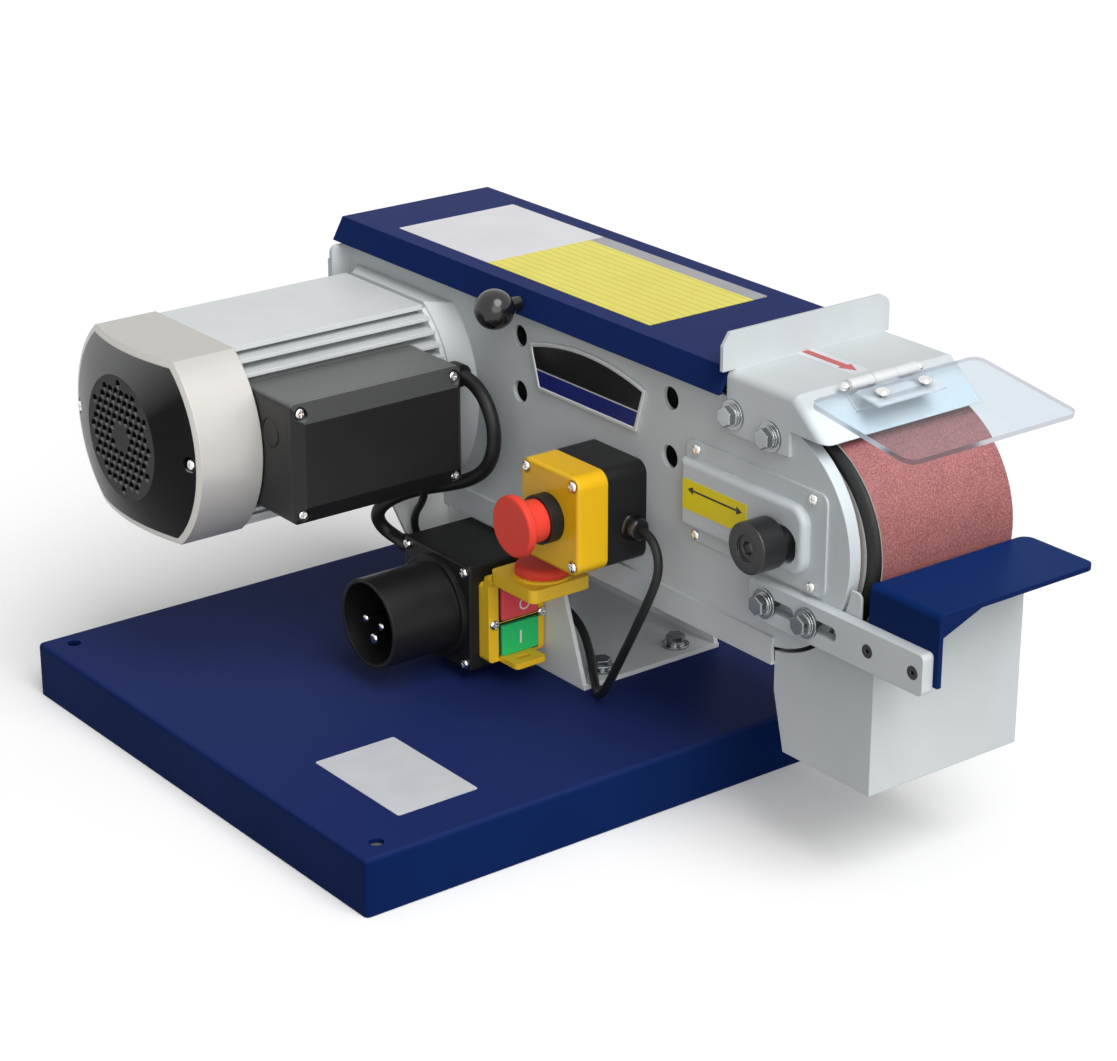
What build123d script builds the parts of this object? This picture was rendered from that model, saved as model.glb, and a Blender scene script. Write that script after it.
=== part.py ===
# Bench belt sander: folded sheet body on a base tray, flange motor, contact wheel, tool rest and controls.
# Millimetres. X runs towards the contact wheel, Y away from the motor, Z up from the bench.
# The origin is the centre of the base's four mounting holes, on the bench.

import os
from math import cos, hypot, radians, sin, sqrt, tan

from build123d import *

os.makedirs("parts", exist_ok=True)

# Fits
run_gap = 0.05
slide_gap = 0.1
part_gap = 0.4
bolt_gap = 0.25

# Base tray
base_length = 376.0
base_width = 400.0
base_height = 36.0
base_sheet = 3.0
base_bend = 3.0
mount_inset_x = 15.5
mount_inset_y = 18.0
mount_hole_r = 4.5

# Pedestal
pedestal_rear = -60.0
pedestal_front = 86.0
pedestal_top_front = 56.0
pedestal_near = 34.0
pedestal_width = 110.0
pedestal_sheet = 3.0
gusset_top = 134.0
gusset_reach = 46.5
gusset_gap = 0.6
foot_bolt_front = 72.0
foot_bolt_rear = -45.0
foot_bolt_pitch = 60.4
lead_hole_x = 26.0
lead_hole_z = 75.0
lead_hole_r = 5.0

# Body plates and lower channel
near_face = 33.0
plate_sheet = 3.0
inside_width = 111.5
far_sheet = 1.5
body_rear = -168.0
body_top = 267.0
far_top = 266.0
rear_flange = 13.0
rear_corner_r = 4.0
nose_x = 253.0
nose_z = 197.0
nose_r = 68.5
nose_rim = 8.0
channel_floor = 120.0
channel_sheet = 2.0
channel_lip_top = 135.0
channel_front = 262.0
channel_drop = 16.0
rear_wall_top = 258.0
plate_hole_r = 7.0
plate_holes = [(22.5, 252.0), (167.0, 252.0), (22.5, 216.0), (167.0, 216.0)]

# Wheels and belt
axle_x = 267.0
axle_z = 197.5
motor_x = -100.0
motor_z = 197.5
contact_r = 65.0
tyre_depth = 8.0
tyre_near_r = 6.0
tyre_far_r = 1.5
wheel_start = 43.0
wheel_width = 103.5
rim_depth = 7.0
belt_width = 100.0
belt_thick = 1.0
belt_gap = 0.3
web_width = 14.0
boss_wall = 6.0

# Contact wheel axle, bearings and tension slide
axle_r = 10.0
axle_bearing_r = 21.0
bearing_width = 12.0
axle_bearing_inset = 10.0
axle_nut_r = 15.0
axle_nut_height = 7.0
stud_r = 6.0
block_length = 36.0
block_height = 24.0
block_flange = 6.0
block_flange_depth = 3.9
clamp_length = 32.0
clamp_height = 26.0
tension_travel = 8.0

# Axle cover and knob
cover_panel_x = (183.5, 303.5)
cover_panel_z = (172.0, 233.5)
cover_panel_sheet = 1.5
cover_panel_r = 6.0
cover_raise_x = (184.5, 290.5)
cover_raise_z = (181.0, 222.5)
cover_raise = 7.0
cover_raise_r = 11.0
cover_raise_edge_r = 3.5
cover_slot_length = 37.0
cover_slot_height = 22.0
cover_screw_inset_x = 10.5
cover_screw_inset_z = 4.6
knob_r = 15.3
knob_length = 18.0
knob_face = 5.0
knob_neck_r = 9.0
knob_edge_r = 1.5
knob_recess_r = 8.0
knob_recess_depth = 1.5
knob_socket_r = 4.5
knob_socket_depth = 5.0

# Motor
pad_height = 14.0
pad_base_r = 79.0
pad_top_r = 70.5
pad_flat = 58.5
pad_hole_r = 28.5
shield_thick = 3.0
shield_r = 69.0
shield_flat = 55.0
shield_boss_r = 28.0
shield_boss_length = 11.0
stator_length = 140.0
stator_r = 72.2
stator_flat = 57.8
stator_core_r = 56.0
stator_bore_r = 41.0
stator_top_sheet = 3.0
fin_thick = 2.4
fin_pitch = 7.2
fin_count = 8
rear_shield_thick = 12.0
rear_bearing_r = 17.5
rear_bearing_width = 10.0
shaft_r = 9.5
rear_shaft_r = 8.5
shaft_reach = 47.0
rotor_r = 40.5
rotor_length = 75.0
rotor_inset = 30.0
front_bearing_r = 21.0

# Fan, hood and cap
hood_r = 74.3
hood_flat = 58.4
hood_sheet = 1.5
hood_length = 41.7
hood_gap = 0.3
hood_lip = 4.0
cap_sheet = 2.5
cap_rise = 13.0
cap_shoulder = 0.45
cap_gap = 0.2
grille_r = 39.5
grille_field_r = 38.0
grille_centre_r = 8.0
cell_r = 3.1
cell_pitch = 6.6
cap_screw_r = 66.0
cap_screw_seat = 5.0
fan_r = 56.0
fan_hub_r = 15.0
fan_disc = 3.0
fan_blade_height = 17.0
fan_blade_thick = 2.5
fan_blades = 8
blade_sink = 1.0
blade_inset = 1.0
fan_offset = 5.0

# Terminal box
terminal_back = 54.0
terminal_depth = 48.0
terminal_lid_depth = 9.0
terminal_start = -123.5
terminal_length = 123.5
terminal_z = (159.5, 235.5)
terminal_wall = 2.5
terminal_edge_r = 3.0
lid_bevel_in = 6.0
lid_bevel_down = 11.5
lid_screw_inset = 6.0
lid_screw_floor = 3.0
lid_screw_seat = 4.2
knockout_x = -17.5
knockout_z = 212.0
knockout_r = 9.5
knockout_groove = 1.6
knockout_depth = 0.8

# Drive wheel
drive_web_start = 58.0
drive_boss_r = 18.0
drive_boss_length = 44.0
drive_washer_r = 13.0
drive_washer_thick = 3.0

# Platen
platen_x = (-15.0, 185.0)
platen_thick = 4.0
platen_gap = 0.3
platen_margin = 1.5
platen_leg_x = (45.0, 145.0)
platen_leg_drop = 26.0

# Front guard
guard_sheet = 2.5
guard_rear = 219.0
guard_bend_x = 275.0
guard_front = 302.0
guard_front_z = 262.0
guard_top = 284.0
guard_flange_front = 272.0
guard_flange_bottom = 247.0
guard_edge_r = 5.0
fin_height = 22.5
fin_near = 25.0
fin_chamfer = (5.0, 7.5)
fin_corner_r = 8.0
guard_bolts_at = [(225.0, 259.0), (256.7, 255.0)]

# Top cover, handle and hinges
cover_x = (-171.0, 218.0)
cover_sheet = 2.0
cover_lip_near = 25.0
cover_lip_bottom = 269.5
cover_far_bottom = 267.5
cover_rear_bottom = 262.0
handle_x = 28.0
handle_y = 9.5
handle_z = 275.0
handle_r = 12.5
handle_neck_r = 5.0
handle_stud_r = 3.0
handle_stud_end = 34.0
cover_hinges_at = (-110.0, 150.0)
hinge_length = 48.0
hinge_r = 3.5
hinge_pin_r = 1.75
hinge_y = 155.5
hinge_z = 266.0
hinge_leaf = 1.5
hinge_leaf_height = 24.0

# Clear shield and its hinge
shield_rear = 290.0
shield_rear_z = 286.0
shield_length = 80.4
shield_width = 128.0
shield_mid_y = 91.5
shield_thick_clear = 3.0
shield_corner_r = 7.0
shield_tilt = 8.3
pivot_x = 283.5
pivot_z = 285.0
pivot_y = 88.0
pivot_r = 4.0
pivot_pin_r = 2.0
pivot_length = 51.0
pivot_ball_r = 3.2
pivot_ball_out = 2.2
pivot_leaf = 1.5
pivot_leaf_start = 2.0
pivot_leaf_end = 20.0
moving_leaf_x = (289.0, 308.0)
shield_screw_x = 301.0
shield_screw_pitch = 32.0
shield_screw_r = 4.3
shield_screw_height = 2.6

# Dust box
dust_near = 33.5
dust_width = 115.0
dust_sheet = 1.5
dust_front = 343.0
dust_bottom = 66.0
dust_bottom_rear = 271.0
dust_rear_top = 126.0
dust_front_gap = 4.0
dust_step_x = 331.0
dust_step_z = 146.0
dust_tab_top = 184.0
dust_tab_r = 4.0
dust_arc_gap = 2.5
dust_screw_inset = 26.5

# Tool rest and its bar
rest_top = 192.5
rest_x = (338.0, 392.0)
rest_length = 119.5
rest_sheet = 3.0
rest_drop = 42.5
rest_corner_r = 7.0
rest_bend_r = 4.0
rest_gusset_width = 31.0
rest_gusset_drop = 13.5
bar_x = (248.0, 388.5)
bar_z = (146.0, 170.0)
bar_thick = 8.0
bar_corner_r = 3.0
bar_bolts_x = (262.0, 297.0)
bar_slot_reach = 24.0
rest_screws_x = (345.7, 380.9)
rest_screw_extra = 0.8

# Emergency stop
estop_x = 118.0
estop_z = 175.5
estop_width = 56.0
estop_height = 62.0
estop_base_depth = 29.0
estop_cover_depth = 22.0
estop_wall = 2.5
estop_edge_r = 8.0
estop_front_r = 2.5
estop_screw_inset = 5.8
estop_screw_seat = 4.2
estop_screw_depth = 1.2
collar_r = 15.0
collar_depth = 9.0
button_neck_r = 13.0
button_head_r = 18.8
button_front = -46.0
button_head_depth = 5.0
button_flare = 4.0
button_rim_r = 1.8
button_neck_end = -12.0

# Switch box, inlet, frame, buttons and flap
switch_x = (-34.5, 36.0)
switch_y = -17.0
switch_z = (44.0, 115.5)
switch_wall = 2.5
switch_edge_r = 3.0
switch_screw_inset = 5.0
inlet_x = 0.8
inlet_z = 79.5
inlet_r = 29.0
inlet_wall = 2.5
inlet_length = 52.6
inlet_flange_r = 33.0
inlet_flange = 4.0
inlet_pin_r = 2.5
inlet_pin_pitch = 17.0
earth_pin_r = 3.5
earth_pin_drop = 11.0
inlet_pin_short = 3.2
inlet_pin_tip_r = 1.5
frame_y = (-10.0, 33.0)
frame_z = (52.0, 104.0)
frame_depth = 10.0
frame_corner_r = 3.0
frame_screws_y = (-6.2, 30.5)
start_z = (55.5, 76.0)
stop_z = (79.5, 100.5)
button_y = (-1.0, 26.8)
button_proud = 2.5
button_length = 18.0
button_edge_r = 1.0
button_front_r = 0.8
latch_y = (-2.0, 22.0)
latch_reach = 18.0
latch_thick = 3.5
latch_slot = (10.0, 4.0)
flap_axis_x = 45.0
flap_axis_z = 107.6
flap_knuckle_r = 3.2
flap_pin_r = 1.6
flap_ear = 5.0
flap_ear_r = 3.5
flap_x = (49.5, 94.0)
flap_mid_y = 10.75
flap_width = 45.5
flap_z = (108.8, 117.4)
flap_wall = 2.0
flap_corner_r = 5.0
flap_knob_x = 73.5
flap_boss_r = 19.0
flap_boss_height = 1.6
flap_knob_r = 17.0
flap_knob_height = 6.0
flap_knob_edge_r = 3.6

# Fasteners
bolt_r = 4.0
bolt_head_r = 6.3
bolt_head_height = 4.6
bolt_head_edge = 0.5
washer_r = 9.0
washer_thick = 1.6
spring_washer_r = 6.6
spring_washer_thick = 1.6
foot_bolt_length = 12.0
screw_r = 1.6
screw_head_r = 3.3
screw_head_height = 2.3
screw_round = 1.4
cross_width = 3.6
cross_thick = 0.75
cross_depth = 1.15
screw_length = 4.5

# Leads and glands
motor_lead_r = 4.5
thin_lead_r = 2.5
estop_lead_r = 2.75
lead_bend_share = 0.45
gland_wall = 2.8
estop_gland_y = 22.0
estop_gland_z = 168.5
estop_gland_length = 9.0
motor_gland_x = -22.0
motor_gland_y = 15.0
motor_gland_z = 220.0
motor_gland_length = 8.0
box_gland_length = 8.0
motor_lead_route = [(-14, 15, 220), (-4, 15, 220), (10.7, 15, 211.5), (19.2, 15, 196.8), (19.2, 15, 179.8),
                    (10.7, 15, 165), (-5.7, 14, 153.5), (-24, 9, 146), (-40, -2, 141), (-51, -15, 134.5),
                    (-59, -21, 124.5), (-61, -17.5, 114), (-54, -11, 106), (-42.5, -11, 106)]
thin_lead_route = [(-20, -10, 159.5), (-20, -10, 151), (-26, -7, 141), (-37, -2, 131), (-48, 2, 122),
                   (-53.5, 4, 112), (-53, 6.5, 102), (-48, 7, 97.5), (-42.5, 7, 97.5)]
estop_lead_route = [(155, 22, 168.5), (161, 22, 168.5), (169.2, 21, 163.8), (174, 20, 155.3),
                    (174, 19, 144.5), (164.5, 19, 125), (149.5, 20, 99), (132.5, 22, 71.5), (116.5, 26.5, 50),
                    (101, 33, 38), (86.5, 41, 44), (75.5, 47, 54), (63.5, 50.5, 66), (48, 51, 73.5),
                    (33, 49, 75.5), (26, 44, 75), (26, 37, 75)]

# Places worked out from the dimensions above
mount_pitch_x = base_length - 2 * mount_inset_x
mount_pitch_y = base_width - 2 * mount_inset_y
near_inner = near_face + plate_sheet
far_inner = near_inner + inside_width
far_face = far_inner + far_sheet
channel_base = channel_floor - channel_sheet
channel_near = near_face - channel_sheet
channel_far = far_face + channel_sheet
wheel_end = wheel_start + wheel_width
wheel_mid = wheel_start + wheel_width / 2
belt_start = wheel_end - belt_width
drive_r = contact_r + axle_z - motor_z
motor_face = near_face - pad_height
stator_front = motor_face - shield_thick
stator_rear = stator_front - stator_length
hood_rear = stator_rear - hood_gap
cap_edge = hood_rear - hood_length
cap_front = cap_edge - cap_rise
terminal_x = motor_x + terminal_back
lid_x = terminal_x + terminal_depth
fin_top = guard_top + fin_height
guard_near = near_face - guard_sheet
guard_far = far_face + guard_sheet
bar_near = near_face - bar_thick
slot_front = bar_slot_reach + bolt_r
estop_front = near_face - estop_base_depth - estop_cover_depth
frame_front = switch_x[1] + frame_depth
dust_far = dust_near + dust_width
foot_bolt_y = pedestal_near + pedestal_width / 2


def box(x0, x1, y0, y1, z0, z1):
    centre = Pos((x0 + x1) / 2, (y0 + y1) / 2, (z0 + z1) / 2)
    return centre * Box(x1 - x0, y1 - y0, z1 - z0)


def slab_x(outline, x0, x1):
    return extrude(Plane.YZ.offset(x0) * outline, x1 - x0, dir=(1, 0, 0))


def slab_y(outline, y0, y1):
    return extrude(Plane.XZ.offset(-y1) * outline, y1 - y0, dir=(0, -1, 0))


def slab_z(outline, z0, z1):
    return extrude(Plane.XY.offset(z0) * outline, z1 - z0, dir=(0, 0, 1))


def rod_x(y, z, radius, x0, x1):
    return slab_x(Pos(y, z) * Circle(radius), x0, x1)


def rod_y(x, z, radius, y0, y1):
    return slab_y(Pos(x, z) * Circle(radius), y0, y1)


def rod_z(x, y, radius, z0, z1):
    return slab_z(Pos(x, y) * Circle(radius), z0, z1)


def ring_y(x, z, outer, inner, y0, y1):
    return slab_y(Pos(x, z) * (Circle(outer) - Circle(inner)), y0, y1)


def rect(a0, a1, b0, b1, radius=0.0):
    size = (a1 - a0, b1 - b0)
    shape = RectangleRounded(*size, radius) if radius else Rectangle(*size)
    return Pos((a0 + a1) / 2, (b0 + b1) / 2) * shape


def shape_from(*points):
    return Polygon(*points, align=None)


def turned_y(x, z, outline):
    return Pos(x, 0, z) * revolve(outline, Axis.Y)


def flatted(radius, flat):
    return Circle(radius) & Rectangle(2 * radius, 2 * flat)


def group(pieces):
    return Compound(list(pieces))


def save(name, shape):
    export_step(shape, "parts/" + name + ".step")


# Hexagon bolt with its washer, head outwards along the given direction
def hex_bolt(place, outwards, length):
    seat = Plane(place, z_dir=outwards)
    washer = extrude(Circle(washer_r), washer_thick)
    head_base = washer_thick + spring_washer_thick
    washer += extrude(Circle(spring_washer_r), head_base)
    head = Pos(0, 0, head_base) * extrude(RegularPolygon(bolt_head_r, 6), bolt_head_height)
    head = chamfer(head.faces().sort_by(Axis.Z)[-1].edges(), bolt_head_edge)
    shank = Pos(0, 0, -length) * extrude(Circle(bolt_r), length)
    return seat * (washer + head + shank)


def bolt_bore(place, outwards, length):
    seat = Plane(place, z_dir=outwards)
    depth = length + 2 * bolt_gap
    return seat * (Pos(0, 0, bolt_gap - depth) * extrude(Circle(bolt_r + bolt_gap), depth))


# Small pan-head screw with a cross recess
def pan_screw(place, outwards):
    seat = Plane(place, z_dir=outwards)
    head = extrude(Circle(screw_head_r), screw_head_height)
    head = fillet(head.faces().sort_by(Axis.Z)[-1].edges(), screw_round)
    cross = Rectangle(cross_width, cross_thick) + Rectangle(cross_thick, cross_width)
    head -= Pos(0, 0, screw_head_height - cross_depth) * extrude(cross, cross_depth)
    shank = Pos(0, 0, -screw_length) * extrude(Circle(screw_r), screw_length)
    return seat * (head + shank)


def screw_bore(place, outwards):
    seat = Plane(place, z_dir=outwards)
    length = screw_length + 2 * bolt_gap
    return seat * (Pos(0, 0, bolt_gap - length) * extrude(Circle(screw_r + bolt_gap), length))


# Screw places, as a seat point and the way the head faces
axle_cover_screws = [((x, near_face - cover_panel_sheet, z), (0, -1, 0))
                     for x in (cover_panel_x[0] + cover_screw_inset_x, cover_panel_x[1] - cover_screw_inset_x)
                     for z in (cover_panel_z[0] + cover_screw_inset_z, cover_panel_z[1] - cover_screw_inset_z)]
estop_screws = [((estop_x + sx * (estop_width / 2 - estop_screw_inset), estop_front + estop_screw_depth,
                  estop_z + sz * (estop_height / 2 - estop_screw_inset)), (0, -1, 0))
                for sx in (-1, 1) for sz in (-1, 1)]
box_screws = [((x, switch_y, z), (0, -1, 0))
              for x in (switch_x[0] + switch_screw_inset, switch_x[1] - switch_screw_inset)
              for z in (switch_z[0] + switch_screw_inset, switch_z[1] - switch_screw_inset)]
frame_mid = (stop_z[0] + start_z[1]) / 2
frame_screws = [((frame_front, y, frame_mid), (1, 0, 0)) for y in frame_screws_y]
dust_screws = [((channel_front + dust_sheet, y, channel_base - channel_drop / 2), (1, 0, 0))
               for y in (dust_near + dust_screw_inset, dust_far - dust_screw_inset)]
cap_screw_y = cap_edge - cap_sheet
cap_screws = [((motor_x + side * cap_screw_r, cap_screw_y, motor_z), (0, -1, 0)) for side in (-1, 1)]
lid_screws = [((lid_x + lid_screw_floor, y, z), (1, 0, 0))
              for y in (terminal_start + lid_screw_inset, terminal_start + terminal_length - lid_screw_inset)
              for z in (terminal_z[0] + lid_screw_inset, terminal_z[1] - lid_screw_inset)]
all_screws = (axle_cover_screws + estop_screws + box_screws + frame_screws + dust_screws + cap_screws
              + lid_screws)

foot_bolts = [((x, foot_bolt_y + side * foot_bolt_pitch / 2, base_height + pedestal_sheet), (0, 0, 1))
              for x in (foot_bolt_rear, foot_bolt_front) for side in (-1, 1)]
near_guard_bolts = [((x, guard_near, z), (0, -1, 0)) for x, z in guard_bolts_at]
far_guard_bolts = [((x, guard_far, z), (0, 1, 0)) for x, z in guard_bolts_at]
bar_mid = (bar_z[0] + bar_z[1]) / 2
bar_bolts = [((x, bar_near, bar_mid), (0, -1, 0)) for x in bar_bolts_x]
near_bolt_length = guard_sheet + plate_sheet
far_bolt_length = guard_sheet + far_sheet
bar_bolt_length = bar_thick + plate_sheet


def drilled(shape, places, bore, *sizes):
    for place, outwards in places:
        shape -= bore(place, outwards, *sizes)
    return shape


def base_tray():
    half_x = base_length / 2
    half_y = base_width / 2
    tray = box(-half_x, half_x, -half_y, half_y, 0, base_height)
    tray = fillet(tray.edges().filter_by(Axis.Z) + tray.faces().sort_by(Axis.Z)[-1].edges(), base_bend)
    inner_x = half_x - base_sheet
    inner_y = half_y - base_sheet
    tray -= box(-inner_x, inner_x, -inner_y, inner_y, 0, base_height - base_sheet)
    for x in (-mount_pitch_x / 2, mount_pitch_x / 2):
        for y in (-mount_pitch_y / 2, mount_pitch_y / 2):
            tray -= rod_z(x, y, mount_hole_r, base_height - base_sheet, base_height)
    return drilled(tray, foot_bolts, bolt_bore, foot_bolt_length)


def pedestal():
    outline = shape_from((pedestal_rear, base_height), (pedestal_front, base_height),
                         (pedestal_top_front, channel_base), (pedestal_rear, channel_base))
    far = pedestal_near + pedestal_width
    shape = slab_y(outline, pedestal_near, pedestal_near + pedestal_sheet)
    shape += slab_y(outline, far - pedestal_sheet, far)
    shape += box(pedestal_rear, pedestal_front, pedestal_near, far, base_height, base_height + pedestal_sheet)
    clear_y = channel_near - gusset_gap
    inner = pedestal_near + pedestal_sheet
    gusset = shape_from((inner, base_height), (inner, channel_base), (clear_y, channel_base),
                        (clear_y, gusset_top), (pedestal_near - gusset_reach, gusset_top),
                        (pedestal_near - pedestal_sheet, base_height))
    shape += slab_x(gusset, pedestal_rear, pedestal_rear + pedestal_sheet)
    shape -= rod_y(lead_hole_x, lead_hole_z, lead_hole_r, pedestal_near, pedestal_near + pedestal_sheet)
    return drilled(shape, foot_bolts, bolt_bore, foot_bolt_length)


def lower_channel():
    rear = body_rear - channel_sheet
    shape = box(rear, channel_front, channel_near, channel_far, channel_base, channel_floor)
    shape += box(rear, channel_front, channel_near, near_face, channel_base, channel_lip_top)
    shape += box(rear, channel_front, far_face, channel_far, channel_base, channel_lip_top)
    shape += box(rear, body_rear, near_face - rear_flange, channel_far, channel_base, rear_wall_top)
    front_lip = box(channel_front - channel_sheet, channel_front, near_inner, far_inner,
                    channel_base - channel_drop, channel_base)
    return drilled(shape + front_lip, dust_screws, screw_bore)


def body_outline(top):
    return rect(body_rear, nose_x, channel_floor, top) + Pos(nose_x, nose_z) * Circle(nose_r)


# The raised motor pad, or its hollow side when a sheet thickness is taken off
def motor_pad(sheet):
    lean = (pad_base_r - pad_top_r) / pad_height
    inset = sheet * hypot(1, lean)
    foot = near_face + sheet
    top = motor_face + sheet
    shift = sheet * lean - inset
    dish = shape_from((0, foot), (pad_base_r + shift, foot), (pad_top_r + shift, top), (0, top))
    flat = pad_flat - sheet
    limits = box(body_rear + plate_sheet + sheet, motor_x + 2 * pad_base_r, top, foot,
                 motor_z - flat, motor_z + flat)
    return turned_y(motor_x, motor_z, dish) & limits


def near_side_plate():
    shape = slab_y(body_outline(body_top), near_face, near_inner)
    rim = Circle(nose_r) - Circle(nose_r - plate_sheet)
    rim &= rect(0, nose_r, -nose_r, nose_r)
    shape += slab_y(Pos(nose_x, nose_z) * rim, near_face, near_face + nose_rim)
    flange = box(body_rear, body_rear + plate_sheet, near_face - rear_flange, near_inner,
                 channel_lip_top + gusset_gap, body_top)
    outer_edge = flange.edges().filter_by(Axis.X).sort_by(lambda e: e.center().Y - e.center().Z)[0]
    shape += fillet(outer_edge, rear_corner_r)
    shape += motor_pad(0)
    shape -= motor_pad(plate_sheet)
    shape -= rod_y(motor_x, motor_z, pad_hole_r, motor_face, near_inner)
    for x, z in plate_holes:
        shape -= rod_y(x, z, plate_hole_r, near_face, near_inner)
    slot_x0 = axle_x - block_length / 2 - tension_travel - part_gap
    slot_x1 = axle_x + block_length / 2 + part_gap
    half_slot = block_height / 2 + slide_gap
    shape -= box(slot_x0, slot_x1, near_face, near_inner, axle_z - half_slot, axle_z + half_slot)
    shape = drilled(shape, near_guard_bolts, bolt_bore, near_bolt_length)
    shape = drilled(shape, bar_bolts, bolt_bore, bar_bolt_length)
    return drilled(shape, axle_cover_screws, screw_bore)


def far_side_plate():
    shape = slab_y(body_outline(far_top), far_inner, far_face)
    return drilled(shape, far_guard_bolts, bolt_bore, far_bolt_length)


def belt_loop(offset):
    wheels = Pos(axle_x, axle_z) * Circle(contact_r + offset) + Pos(motor_x, motor_z) * Circle(drive_r + offset)
    return make_hull(wheels.edges())


def abrasive_belt():
    band = belt_loop(belt_gap + belt_thick) - belt_loop(belt_gap)
    return slab_y(band, belt_start, belt_start + belt_width)


def platen():
    top = axle_z + contact_r + belt_gap - platen_gap
    shape = box(*platen_x, near_inner, wheel_end - platen_margin, top - platen_thick, top)
    shape += box(*platen_leg_x, near_inner, near_inner + platen_thick, top - platen_leg_drop, top)
    return shape


def front_guard():
    drop = (guard_top - guard_front_z) / (guard_front - guard_bend_x)
    outer = shape_from((guard_rear, guard_flange_bottom), (guard_flange_front, guard_flange_bottom),
                       (guard_flange_front, guard_front_z), (guard_front, guard_front_z),
                       (guard_bend_x, guard_top), (guard_rear, guard_top))
    shape = slab_y(outer, guard_near, guard_far)
    upper_edges = shape.edges().filter_by(lambda e: e.center().Z > guard_front_z + guard_sheet)
    side_edges = upper_edges.filter_by(Axis.Y, reverse=True).filter_by(Axis.Z, reverse=True)
    shape = fillet(side_edges, guard_edge_r)
    slope_depth = guard_sheet * hypot(1, drop)
    ceiling = guard_top - guard_sheet
    inner_bend = guard_bend_x - (slope_depth - guard_sheet) / drop
    floor = guard_flange_bottom - guard_sheet
    inner_front = inner_bend + (ceiling - floor) / drop
    hollow = shape_from((guard_rear - guard_sheet, floor), (inner_front, floor), (inner_bend, ceiling),
                        (guard_rear - guard_sheet, ceiling))
    shape -= slab_y(hollow, near_face, far_face)
    fin_outline = shape_from((fin_near, guard_top), (fin_near, fin_top - fin_chamfer[1]),
                             (fin_near + fin_chamfer[0], fin_top), (guard_far, fin_top), (guard_far, guard_top),
                             (guard_far - guard_edge_r, guard_top), (guard_far - guard_edge_r, ceiling),
                             (guard_near + guard_edge_r, ceiling), (guard_near + guard_edge_r, guard_top))
    far_corner = fin_outline.vertices().sort_by(lambda v: v.X + v.Y)[-1]
    fin_outline = fillet(far_corner, fin_corner_r)
    shape += slab_x(fin_outline, guard_rear, guard_rear + guard_sheet)
    shape = drilled(shape, near_guard_bolts, bolt_bore, near_bolt_length)
    return drilled(shape, far_guard_bolts, bolt_bore, far_bolt_length)


def axle_cover():
    base_y = near_face - cover_panel_sheet
    shape = slab_y(rect(*cover_panel_x, *cover_panel_z, cover_panel_r), base_y, near_face)

    def raised(inset):
        outline = rect(cover_raise_x[0] + inset, cover_raise_x[1] - inset, cover_raise_z[0] + inset,
                       cover_raise_z[1] - inset)
        outline = fillet(outline.vertices().sort_by(Axis.X)[-2:], cover_raise_r - inset)
        solid = slab_y(outline, near_face - cover_raise + inset, near_face)
        return fillet(solid.faces().sort_by(Axis.Y)[0].edges(), cover_raise_edge_r - inset)

    shape += raised(0)
    shape -= raised(cover_panel_sheet)
    slot = Pos(axle_x, axle_z) * SlotOverall(cover_slot_length, cover_slot_height)
    shape -= slab_y(slot, near_face - cover_raise, near_face)
    return drilled(shape, axle_cover_screws, screw_bore)


def tension_block():
    outer_face = near_face - slide_gap
    inner_face = near_inner + slide_gap
    half_x = block_length / 2
    half_z = block_height / 2
    wide_x = half_x + block_flange
    wide_z = half_z + block_flange
    clamp_y = near_face - cover_raise + cover_panel_sheet + part_gap
    clamp_x = clamp_length / 2
    clamp_z = clamp_height / 2
    shape = box(axle_x - half_x, axle_x + half_x, outer_face, inner_face, axle_z - half_z, axle_z + half_z)
    shape += box(axle_x - clamp_x, axle_x + clamp_x, clamp_y, outer_face, axle_z - clamp_z, axle_z + clamp_z)
    shape += box(axle_x - wide_x, axle_x + wide_x, inner_face, inner_face + block_flange_depth,
                 axle_z - wide_z, axle_z + wide_z)
    return shape - rod_y(axle_x, axle_z, stud_r, clamp_y, inner_face + block_flange_depth)


def axle_bearing_starts():
    return (wheel_start + axle_bearing_inset, wheel_end - axle_bearing_inset - bearing_width)


def wheel_axle():
    block_end = near_inner + slide_gap + block_flange_depth
    nut_start = axle_bearing_starts()[1] + bearing_width + run_gap
    shape = rod_y(axle_x, axle_z, axle_r, block_end, nut_start + axle_nut_height)
    shape += rod_y(axle_x, axle_z, stud_r, knob_face + knob_socket_depth, block_end)
    nut = Pos(axle_x, axle_z) * RegularPolygon(axle_nut_r, 6)
    return shape + slab_y(nut, nut_start, nut_start + axle_nut_height)


def tracking_knob():
    clamp_y = near_face - cover_raise + cover_panel_sheet + part_gap
    shape = rod_y(axle_x, axle_z, knob_r, knob_face, knob_face + knob_length)
    shape = fillet(shape.edges().filter_by(GeomType.CIRCLE), knob_edge_r)
    shape += rod_y(axle_x, axle_z, knob_neck_r, knob_face + knob_length, clamp_y)
    shape -= rod_y(axle_x, axle_z, stud_r + run_gap, knob_face + knob_socket_depth, clamp_y)
    shape -= rod_y(axle_x, axle_z, knob_recess_r, knob_face, knob_face + knob_recess_depth)
    socket = Pos(axle_x, axle_z) * RegularPolygon(knob_socket_r, 6)
    return shape - slab_y(socket, knob_face, knob_face + knob_socket_depth)


def wheel_body(x, z, radius, rim, bore_r, boss_r, boss_span, web_start):
    shape = ring_y(x, z, radius, radius - rim, wheel_start, wheel_end)
    shape += ring_y(x, z, radius - rim, boss_r, web_start, web_start + web_width)
    shape += ring_y(x, z, boss_r, bore_r, *boss_span)
    return shape


def contact_hub():
    starts = axle_bearing_starts()
    boss_span = (starts[0], starts[1] + bearing_width)
    return wheel_body(axle_x, axle_z, contact_r - tyre_depth, rim_depth, axle_bearing_r,
                      axle_bearing_r + boss_wall, boss_span, wheel_mid - web_width / 2)


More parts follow.
